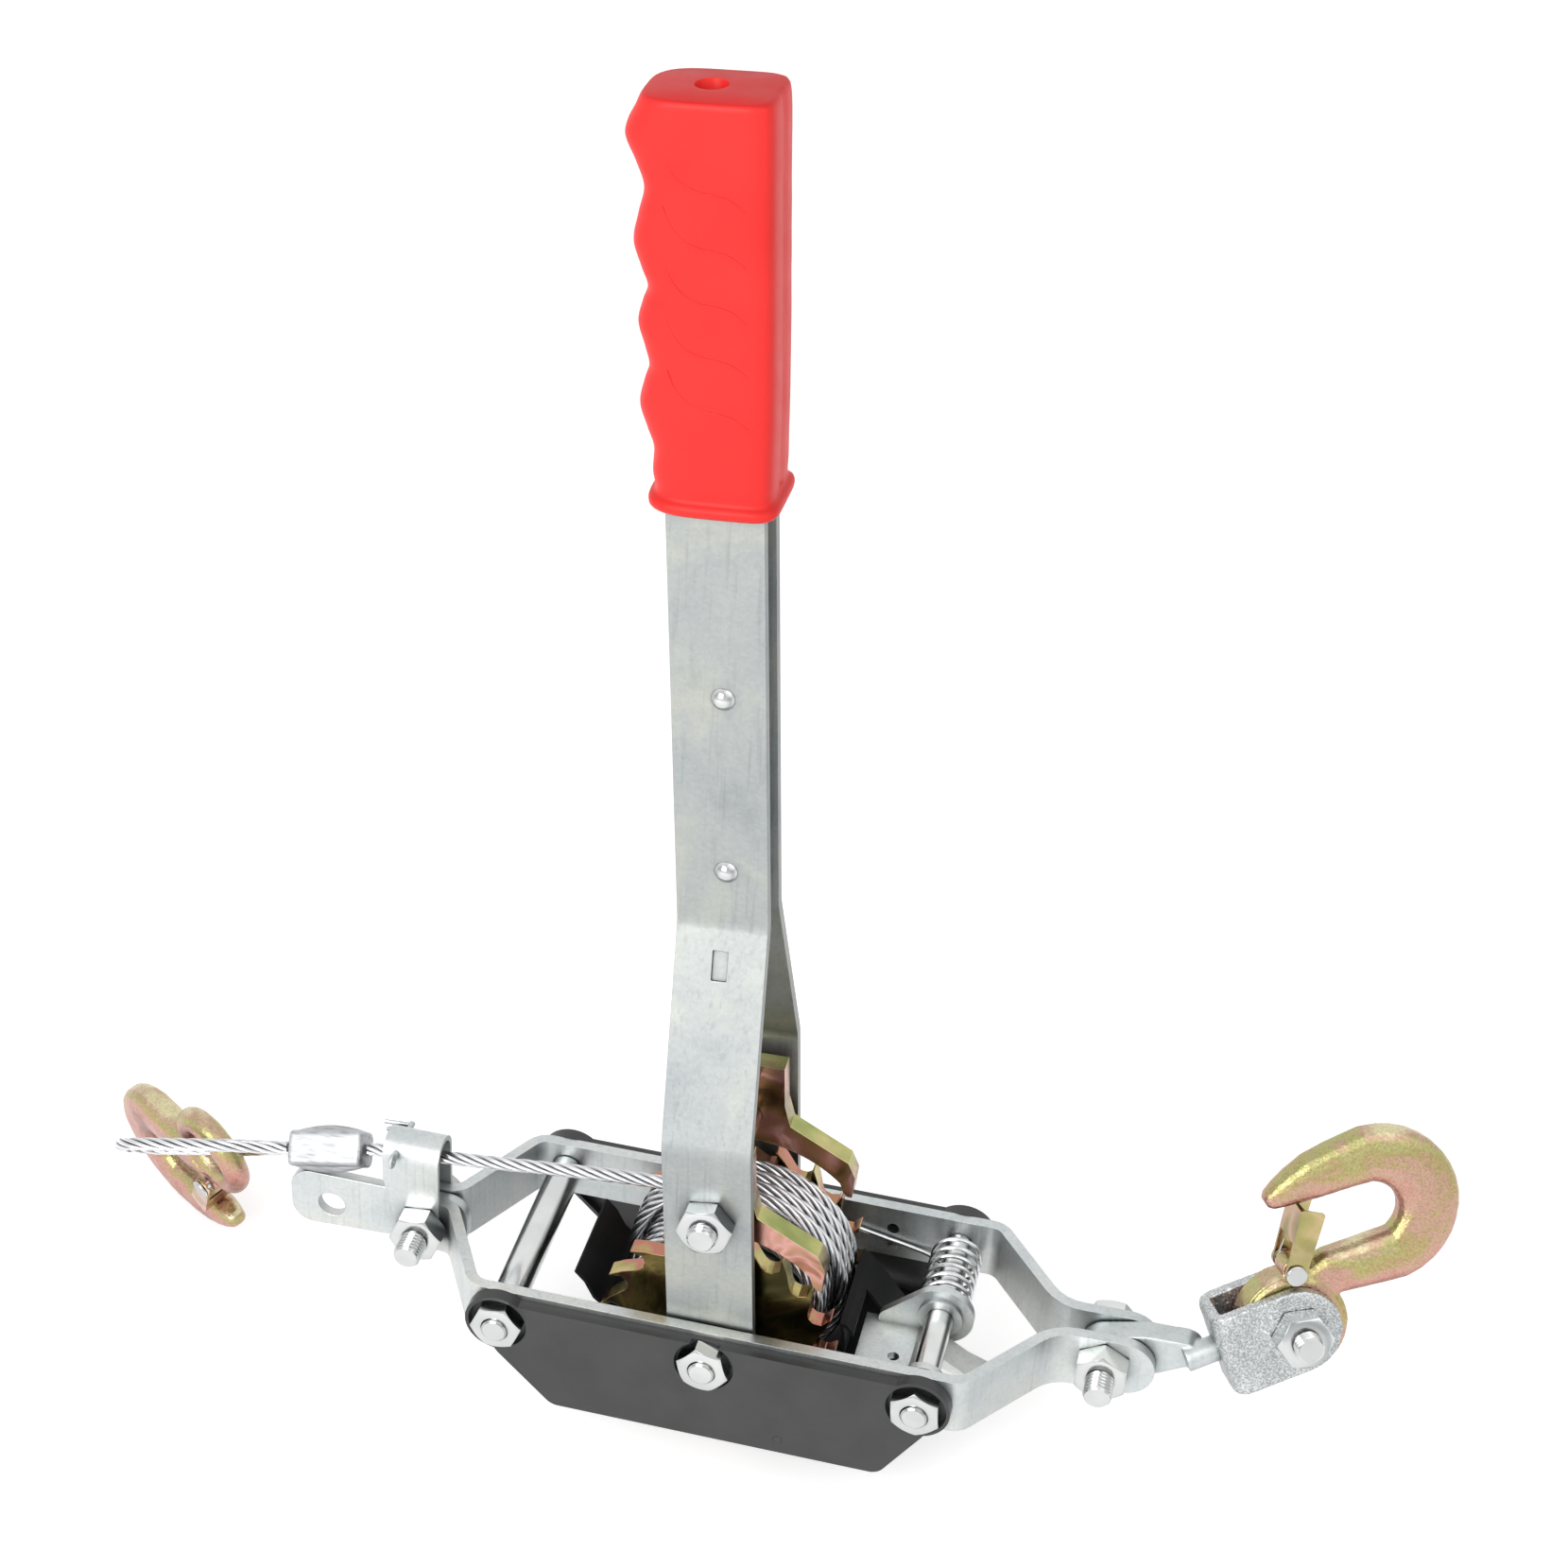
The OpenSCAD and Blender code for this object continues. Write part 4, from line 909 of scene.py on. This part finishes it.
FERRULE_END = Vector((-164.5, 0, 18.1))
FERRULE_LENGTH = 30
LOOP_DIR = Vector((-0.9756, 0, -0.2196)).normalized()
FERRULE_START = FERRULE_END - FERRULE_LENGTH * LOOP_DIR
LOOP_UP = Vector((0, 0.733, -0.68)).cross(LOOP_DIR).normalized()
LOOP_SIDE = LOOP_DIR.cross(LOOP_UP)
LOOP_HALF = 11.5
LOOP_LENGTH = 67.5

FREE_LINE = [(-24, 0, 36.2), (-30, 0, 35.9), (-39, 0, 35.3), (-48, 0, 34.5), (-57, 0, 33.6),
             (-66, 0, 32.5), (-75, 0, 31.5), (-84, 0, 30.4), (-93, 0, 29.4), (-102, 0, 28.5),
             (-111, 0, 27.4), (-120, 0, 26.3), (-127, 0, 25.4),
             FERRULE_START - 3 * LOOP_DIR, FERRULE_START]

LOOP_ARM = [(0, 2.7), (4, 2.7), (8, 4), (12, 6.1), (16, 8.4), (20, 10.3), (24, 11.3),
            (29, 11.5), (37, 11.5), (45, 11.5), (52, 11.5)]


def loop_point(along, across):
    """Point in the plane of the loop."""
    return FERRULE_END + along * LOOP_DIR + across * LOOP_SIDE


def loop_line():
    """Line of the end loop, out along one arm and back along the other."""
    bow = [loop_point(LOOP_LENGTH - LOOP_HALF + LOOP_HALF * math.cos(math.radians(t)),
                      LOOP_HALF * math.sin(math.radians(t))) for t in range(-90, 91, 15)]
    return ([loop_point(a, -b) for a, b in LOOP_ARM] + bow
            + [loop_point(a, b) for a, b in reversed(LOOP_ARM)])


WINDING_PITCH = 5.35
WINDING_EDGE = 17.2
FIRST_LAYER = 32.5
SECOND_LAYER = 37.8
STEP_TURNS = 0.25
STEPS_PER_TURN = 24


def winding_line():
    """Line of the rope on the drum: a full layer, a step up, then back to the middle."""
    first_turns = 2 * WINDING_EDGE / WINDING_PITCH
    turns = first_turns + STEP_TURNS + WINDING_EDGE / WINDING_PITCH
    steps = math.ceil(turns * STEPS_PER_TURN)
    made = []
    for i in range(steps + 1):
        n = turns * i / steps
        a = math.radians(90 - 360 * (turns - n))
        climb = max(0.0, min(1.0, (n - first_turns) / STEP_TURNS))
        r = FIRST_LAYER + (SECOND_LAYER - FIRST_LAYER) * climb
        if n < first_turns:
            y = -WINDING_EDGE + WINDING_PITCH * n
        else:
            y = WINDING_EDGE - WINDING_PITCH * max(0.0, n - first_turns - STEP_TURNS)
        made.append(Vector((r * math.cos(a), y, r * math.sin(a))))
    made.append(made[-1] + Vector((-2 * ROPE_RADIUS, 0, 0)))
    return made


def make_cables(ferrule):
    """Free stretch, end loop and winding."""
    free, line = rope("free_rope", FREE_LINE, ["free_cable"])
    loop, line = rope("loop_rope", loop_line(), ["cable_loop"])
    rope("wound_rope", winding_line(), ["cable_winding"], WOUND_RADIUS)


# Place along the ferrule, half height, half width and squareness, at both ends of the sleeve
FERRULE_MOUTH = [(1.0, 5.6, 5.4, 5), (1.5, 6.1, 6.0, 6)]
FERRULE_TAIL = [(28.6, 6.1, 6.0, 6), (29.0, 5.6, 5.4, 5)]
FERRULE_HALF = 6.3
FERRULE_BELLY = 0.25
FERRULE_SIDE = 6.2

# The flash pressed out above and below: its start, length, foot, height over the foot and half width
FLASH_START = 1.5
FLASH_LENGTH = 27
FLASH_FOOT = 6.2
FLASH_HEIGHT = 2.3
FLASH_SIDE = 3.4
FLASH_STEPS = 24

# The cut end of the rope beside the free stretch, in places along the ferrule
ROPE_TAIL = (-3.4, -1.0, 1.5, 4)
ROPE_TAIL_SIDE = 4.75


def squared(t, half_up, half_side, power):
    """Height and width of a squared-off oval at an angle."""
    c, s = math.cos(t), math.sin(t)
    return (half_up * math.copysign(abs(c) ** (2 / power), c),
            half_side * math.copysign(abs(s) ** (2 / power), s))


def ferrule_section(along, half_up, half_side, power, sides=64):
    """Squared-off oval across the ferrule."""
    ring = []
    for t in around(sides):
        up, side = squared(t, half_up, half_side, power)
        ring.append(FERRULE_START + along * LOOP_DIR + up * LOOP_UP + side * LOOP_SIDE)
    return ring


def make_ferrule():
    """Pressed sleeve: flat faces, square ends, thin flash above and below, and the cut rope end."""
    stations = list(FERRULE_MOUTH)
    for k in range(2, 29):
        belly = FERRULE_BELLY * math.sin(math.pi * k / FERRULE_LENGTH)
        stations.append((k, FERRULE_HALF + belly, FERRULE_SIDE, 7))
    stations += FERRULE_TAIL
    flash = []
    for k in range(FLASH_STEPS + 1):
        along = FLASH_START + FLASH_LENGTH * k / FLASH_STEPS
        rise = FLASH_HEIGHT * math.sin(math.pi * k / FLASH_STEPS) ** 0.8
        flash.append(ferrule_section(along, FLASH_FOOT + rise, FLASH_SIDE, 3, 32))
    tail = [FERRULE_START + LOOP_SIDE * ROPE_TAIL_SIDE + LOOP_DIR * t for t in ROPE_TAIL]
    shapes = [(*skin([ferrule_section(*station) for station in stations]), Matrix()),
              (*skin(flash), Matrix()),
              (*tube(tail, ROPE_RADIUS - 0.4, 14), Matrix())]
    return from_shapes("ferrule", shapes, "ferrule_alloy", ["cable_ferrule"])


# ---------- nuts, bolts and rods ----------

# Places about the axle: the outer rods along X, and the bolts at both ends of the side bars
ROD_OFFSET = 73
LEFT_END = Matrix.Translation((-113.6, 0, 0.5))
RIGHT_END = Matrix.Translation((130.5, 0, 1))

# Node, place along X and radius
RODS = (("axle_rod", 0, 6.0), ("left_spacer_rod", -ROD_OFFSET, 6.0), ("right_spacer_rod", ROD_OFFSET, 4.7))
ROD_SHOULDER = 38
ROD_EASE = 0.5
ROD_THREAD = (36.0, 50.2)
ROD_TIP = [(4.6, 49.4), (4.5, 50.4), (3.9, 50.9), (2.4, 51.1), (0.2, 51.1)]

NUT_BORE = 4.2
NUT_FLATS = 17

# Place along X of each pair of frame nuts, and the turn of its flats in the photo
FRAME_NUTS = ((-ROD_OFFSET, 37), (0, 17), (ROD_OFFSET, 5))
FRAME_NUT_FLATS = 16
FRAME_NUT_FACES = (43.5, 49.7)

# Bolt and nut: place, distance of both from the middle, thickness of head and nut, start of the
# thread, end of the bolt, and the turns of the head's and the nut's flats
BOLTED = {
    "left_end": (LEFT_END, 7.9, 6.4, 8, 7.0, 25, 10, 37),
    "right_end": (RIGHT_END, 8.6, 6.4, 8, 8.0, 25, 24, 0),
    "clevis": (RIGHT_HOOK, 11.1, 6.4, 8, 10.0, 24.1, 0, 15),
    "drive_pawl": (Matrix.Translation(DRIVE_PIVOT), 37, 5, 6, 34, 46.6, 8, 40),
}


def make_rods():
    """Axle and spacer rods with rolled threads at both ends."""
    for node, x, radius in RODS:
        place = Matrix.Translation((x, 0, 0))
        profile = [(radius - ROD_EASE, -ROD_SHOULDER), (radius, ROD_EASE - ROD_SHOULDER),
                   (radius, ROD_SHOULDER - ROD_EASE), (radius - ROD_EASE, ROD_SHOULDER)]
        shapes = [(*lathe(profile), place @ FACING_FRONT)]
        for facing in (FACING_FRONT, FACING_REAR):
            shapes.append((*threads(*ROD_THREAD), place @ facing))
            shapes.append((*lathe(ROD_TIP), place @ facing))
        from_shapes(node + "_turned", shapes, "bright_bolt", [node])


def make_frame_nuts():
    """Six nuts in the dishes of the covers."""
    shapes = []
    for x, spin in FRAME_NUTS:
        for facing in (FACING_FRONT, FACING_REAR):
            place = Matrix.Translation((x, 0, 0)) @ facing @ turn("Z", spin)
            shapes.append((*hex_prism(FRAME_NUT_FLATS, *FRAME_NUT_FACES, bore=NUT_BORE), place))
    from_shapes("frame_nuts_turned", shapes, "bright_bolt", ["frame_nuts"])


def make_bolt(node, place, head_face, head_thick, thread_from, end, spin):
    """Hexagon bolt about local Z, head below -head_face and thread up to end."""
    shank = [(THREAD_RADIUS - 0.3, -head_face), (THREAD_RADIUS, 0.2 - head_face),
             (THREAD_RADIUS, thread_from - 0.5), (THREAD_RADIUS - 0.9, thread_from)]
    head_place = place @ turn("X", 180) @ turn("Z", spin)
    shapes = [(*lathe(shank), place),
              (*threads(thread_from - 0.2, end), place),
              (*hex_prism(NUT_FLATS, head_face, head_face + head_thick), head_place)]
    from_shapes(node + "_turned", shapes, "bright_bolt", [node])


def make_nut(node, place, low, high, spin):
    """Nut about local Z, between two heights."""
    shape = (*hex_prism(NUT_FLATS, low, high, bore=NUT_BORE), place @ turn("Z", spin))
    from_shapes(node + "_turned", [shape], "bright_bolt", [node])


def make_bolted_joints():
    """Bolts and nuts at both ends of the side bars, at the clevis and at the drive pawl."""
    for name, (at, face, head_thick, nut_thick, thread_from, end, head_spin, nut_spin) in BOLTED.items():
        place = at @ FACING_FRONT
        make_bolt(name + "_bolt", place, face, head_thick, thread_from, end, head_spin)
        make_nut(name + "_nut", place, face, face + nut_thick, nut_spin)


# ---------- springs ----------

# Of each coil: centre, radius, both ends along Y, turns and start angle
PAWL_COIL = ((ROD_OFFSET, 0), 8.4, 4.4, 34.2, -6.5, 60)
PAWL_LEG = [(64.6, 35.4, -5.6), (60, 36.5, -4.9), (53, 36.8, -3.5), (44, 36.8, -1.6), (35, 36.8, 0.4)]
PAWL_WIRE = 0.8
DRIVE_COIL = ((DRIVE_PIVOT.x, DRIVE_PIVOT.z), 6.5, -18.4, -6.6, 4.5, 180)
DRIVE_LEGS = ([(-9.4, -18.8, 63), (-9.6, -18.6, 59)], [(3.3, -6.4, 59), (3.1, -6.2, 63)])
DRIVE_WIRE = 0.6


def helix(centre, radius, low, high, turns, start):
    """Coil about Y."""
    made = []
    steps = math.ceil(abs(turns) * STEPS_PER_TURN)
    for i in range(steps + 1):
        a = math.radians(start + 360 * turns * i / steps)
        made.append(Vector((centre[0] + radius * math.cos(a),
                            low + (high - low) * i / steps,
                            centre[1] + radius * math.sin(a))))
    return made


def make_spring(node, line, radius, sides):
    """Round wire along a line."""
    from_shapes(node + "_wire", [(*tube(line, radius, sides), Matrix())], "spring_steel", [node])


def make_springs():
    """The torsion springs of both pawls."""
    make_spring("holding_pawl_spring", helix(*PAWL_COIL) + PAWL_LEG, PAWL_WIRE, 10)
    make_spring("drive_pawl_spring", DRIVE_LEGS[0] + helix(*DRIVE_COIL) + DRIVE_LEGS[1], DRIVE_WIRE, 8)


# ---------- grip ----------

GRIP_BASE = 303
GRIP_SIDES = 144
GRIP_STEP = 0.8

# Squareness of the section on the finger side and on the flat side
GRIP_POWERS = (3.4, 6)

# Shift of the ring's points away from its corners, in radians, so that they lie more evenly
CORNER_SHIFT = 0.2

# Half width and depth of the parting groove, and the height over the base where it begins
GROOVE_HALF = 0.8
GROOVE_DEPTH = 0.6
GROOVE_FROM = 6

# Height, left reach, right reach and half thickness; slimmer than the solid, as the photo has it
GRIP_STATIONS = [
    (0, 20.0, 18.2, 14.6), (1.4, 20.8, 19.5, 16.3), (3.6, 20.6, 19.3, 16.1), (5, 18.9, 17.9, 14.6),
    (11, 19.4, 18.0, 14.8), (19, 18.9, 18.2, 14.8), (25, 20.8, 18.4, 14.8), (32, 22.7, 18.6, 14.8),
    (39, 21.1, 18.7, 14.8), (44, 19.5, 18.8, 14.8), (50, 20.7, 18.9, 14.8), (57, 22.4, 19.0, 14.8),
    (63, 20.9, 19.0, 14.8), (68, 19.2, 19.0, 14.8), (74, 21.1, 19.1, 14.8), (81, 23.0, 19.1, 14.8),
    (89, 21.3, 19.2, 14.8), (97, 19.4, 19.2, 14.8), (104.5, 21.7, 19.3, 14.8), (111, 24.4, 19.4, 14.8),
    (115, 23.6, 19.4, 14.8), (119, 21.4, 19.3, 14.9), (122.3, 19.8, 18.9, 14.8), (123.3, 19.1, 18.3, 14.4),
    (123.7, 18.2, 17.4, 13.7)]

# One thin moulded line on the grip's face: x, and height under its upper end
GRIP_LINE = [(-12, 0), (-9.8, -5), (-6.4, -8.8), (-1.5, -11), (3, -11.7), (7.5, -13), (11.5, -16)]
GRIP_LINE_TOPS = (413, 396.8, 380.6, 364.6, 348.4)
GRIP_LINE_RADIUS = 0.32
GRIP_LINE_SUNK = 0.12

# Reach of the finger side and of the flat side, and half thickness, where the lines lie
GRIP_REACHES = (21, 19)
GRIP_HALF = 14.8

# Centre of the hanging hole, and its radius at each depth under the top face
GRIP_HOLE = (-1.3, 1.5)
GRIP_HOLE_STEPS = ((4.9, 0), (4.7, 0.3), (4.7, 18))
GRIP_SHARP_ANGLE = 45


def grip_stations():
    """The stations of the grip, eased between by a smooth curve in height."""
    line = [Vector(s) for s in GRIP_STATIONS]
    made = [line[0]]
    for i in range(len(line) - 1):
        start, end = line[i], line[i + 1]
        before = line[max(i - 1, 0)]
        after = line[min(i + 2, len(line) - 1)]
        rise = end[0] - start[0]
        slope_in = (end - before) / max(end[0] - before[0], 0.1) * rise
        slope_out = (after - start) / max(after[0] - start[0], 0.1) * rise
        count = max(1, round(rise / GRIP_STEP))
        for k in range(1, count + 1):
            t = k / count
            made.append((2 * t ** 3 - 3 * t ** 2 + 1) * start + (t ** 3 - 2 * t ** 2 + t) * slope_in
                        + (3 * t ** 2 - 2 * t ** 3) * end + (t ** 3 - t ** 2) * slope_out)
    return made


def grip_ring(height, left, right, half):
    """Squared-off oval of the grip at one height, with a parting groove down its right side."""
    ring = []
    for even in around(GRIP_SIDES):
        t = even - CORNER_SHIFT * math.sin(4 * even)
        flat_side = math.cos(t) > 0
        x, y = squared(t, right if flat_side else left, half, GRIP_POWERS[flat_side])
        if math.cos(t) > 0.5 and abs(y) < GROOVE_HALF and height > GROOVE_FROM:
            x -= GROOVE_DEPTH
        ring.append(Vector((x, y, GRIP_BASE + height)))
    return ring


def grip_face(x):
    """Depth of the grip's face at x."""
    flat_side = x > 0
    power = GRIP_POWERS[flat_side]
    return GRIP_HALF * (1 - (abs(x) / GRIP_REACHES[flat_side]) ** power) ** (1 / power)


def make_grip():
    """Red grip with finger swells, a flared lower lip, five thin lines on each face and a blind top hole."""
    rings = [grip_ring(*station) for station in grip_stations()]
    top = GRIP_BASE + GRIP_STATIONS[-1][0]
    for radius, depth in GRIP_HOLE_STEPS:
        rings.append(circle(radius, top - depth, GRIP_SIDES, GRIP_HOLE))
    shapes = [(*skin(rings), HANDLE)]
    for side in (-1, 1):
        for start in GRIP_LINE_TOPS:
            line = [Vector((x, side * (grip_face(x) - GRIP_LINE_SUNK), start + drop))
                    for x, drop in GRIP_LINE]
            shapes.append((*tube(line, GRIP_LINE_RADIUS, 8), HANDLE))
    from_shapes("grip_moulding", shapes, "red_grip", ["grip"], GRIP_SHARP_ANGLE)


# ---------- pieces that keep the solid's shape ----------

# Nodes with rounded edges: finish and width of the edge
EASED = {
    ("front_side_bar", "rear_side_bar"): ("zinc_plate", 0.6),
    ("front_handle_strip", "rear_handle_strip"): ("strip_zinc", 0.7),
    ("anchor_plate", "cable_guide_strap", "holding_pawl"): ("zinc_plate", 0.4),
    ("front_cover", "rear_cover"): ("black_paint", 0.35),
    # Drum guard: its full-width lower pan partly stands in as a dark sheet for shade under the drum.
    ("drum_guard",): ("guard_black", 0.3),
    ("front_ratchet_wheel", "rear_ratchet_wheel"): ("wheel_yellow_zinc", 0.5),
    ("drive_pawl",): ("yellow_zinc", 0.8),
    ("right_latch", "left_latch"): ("yellow_zinc", 0.2),
    ("handle_rivets", "right_latch_rivet", "left_latch_rivet"): ("bright_bolt", 0.5),
}

# Forged and cast nodes: finish, voxel, height and scale of the unevenness, rounds of smoothing
FORGED = {
    "right_hook": ("forged_yellow_zinc", 0.5, 0.10, 6.0, 4),
    "left_hook": ("forged_yellow_zinc", 0.5, 0.10, 6.0, 4),
    "clevis": ("cast_zinc", 0.5, 0.10, 3.0, 5),
    "swivel_link": ("zinc_plate", 0.5, 0.05, 6.0, 4),
}

# Nodes that show the solid itself
PLAIN = {
    "guard_rivets": "black_paint",
    "cotter_pin": "zinc_plate",
    "spring_pin": "zinc_plate",
    "drum_core": "zinc_plate",
    "right_latch_spring": "spring_steel",
    "left_latch_spring": "spring_steel",
}


def dress_solids():
    """The pieces made from the solids' own shapes."""
    for nodes, (finish, width) in EASED.items():
        for node in nodes:
            eased(node, finish, width)
    for node, values in FORGED.items():
        forged(node, *values)
    for node, finish in PLAIN.items():
        mesh = frame["nodes"][node].data
        mesh.materials.clear()
        mesh.materials.append(FINISHES[finish])


def main():
    """The whole scene, camera and cords first."""
    make_camera()
    make_cables(make_ferrule())
    make_world()
    for lamp in LAMPS:
        make_lamp(*lamp)
    make_floor()
    make_rods()
    make_frame_nuts()
    make_bolted_joints()
    make_springs()
    make_grip()
    dress_solids()
    bpy.context.scene.view_settings.view_transform = "Standard"


main()
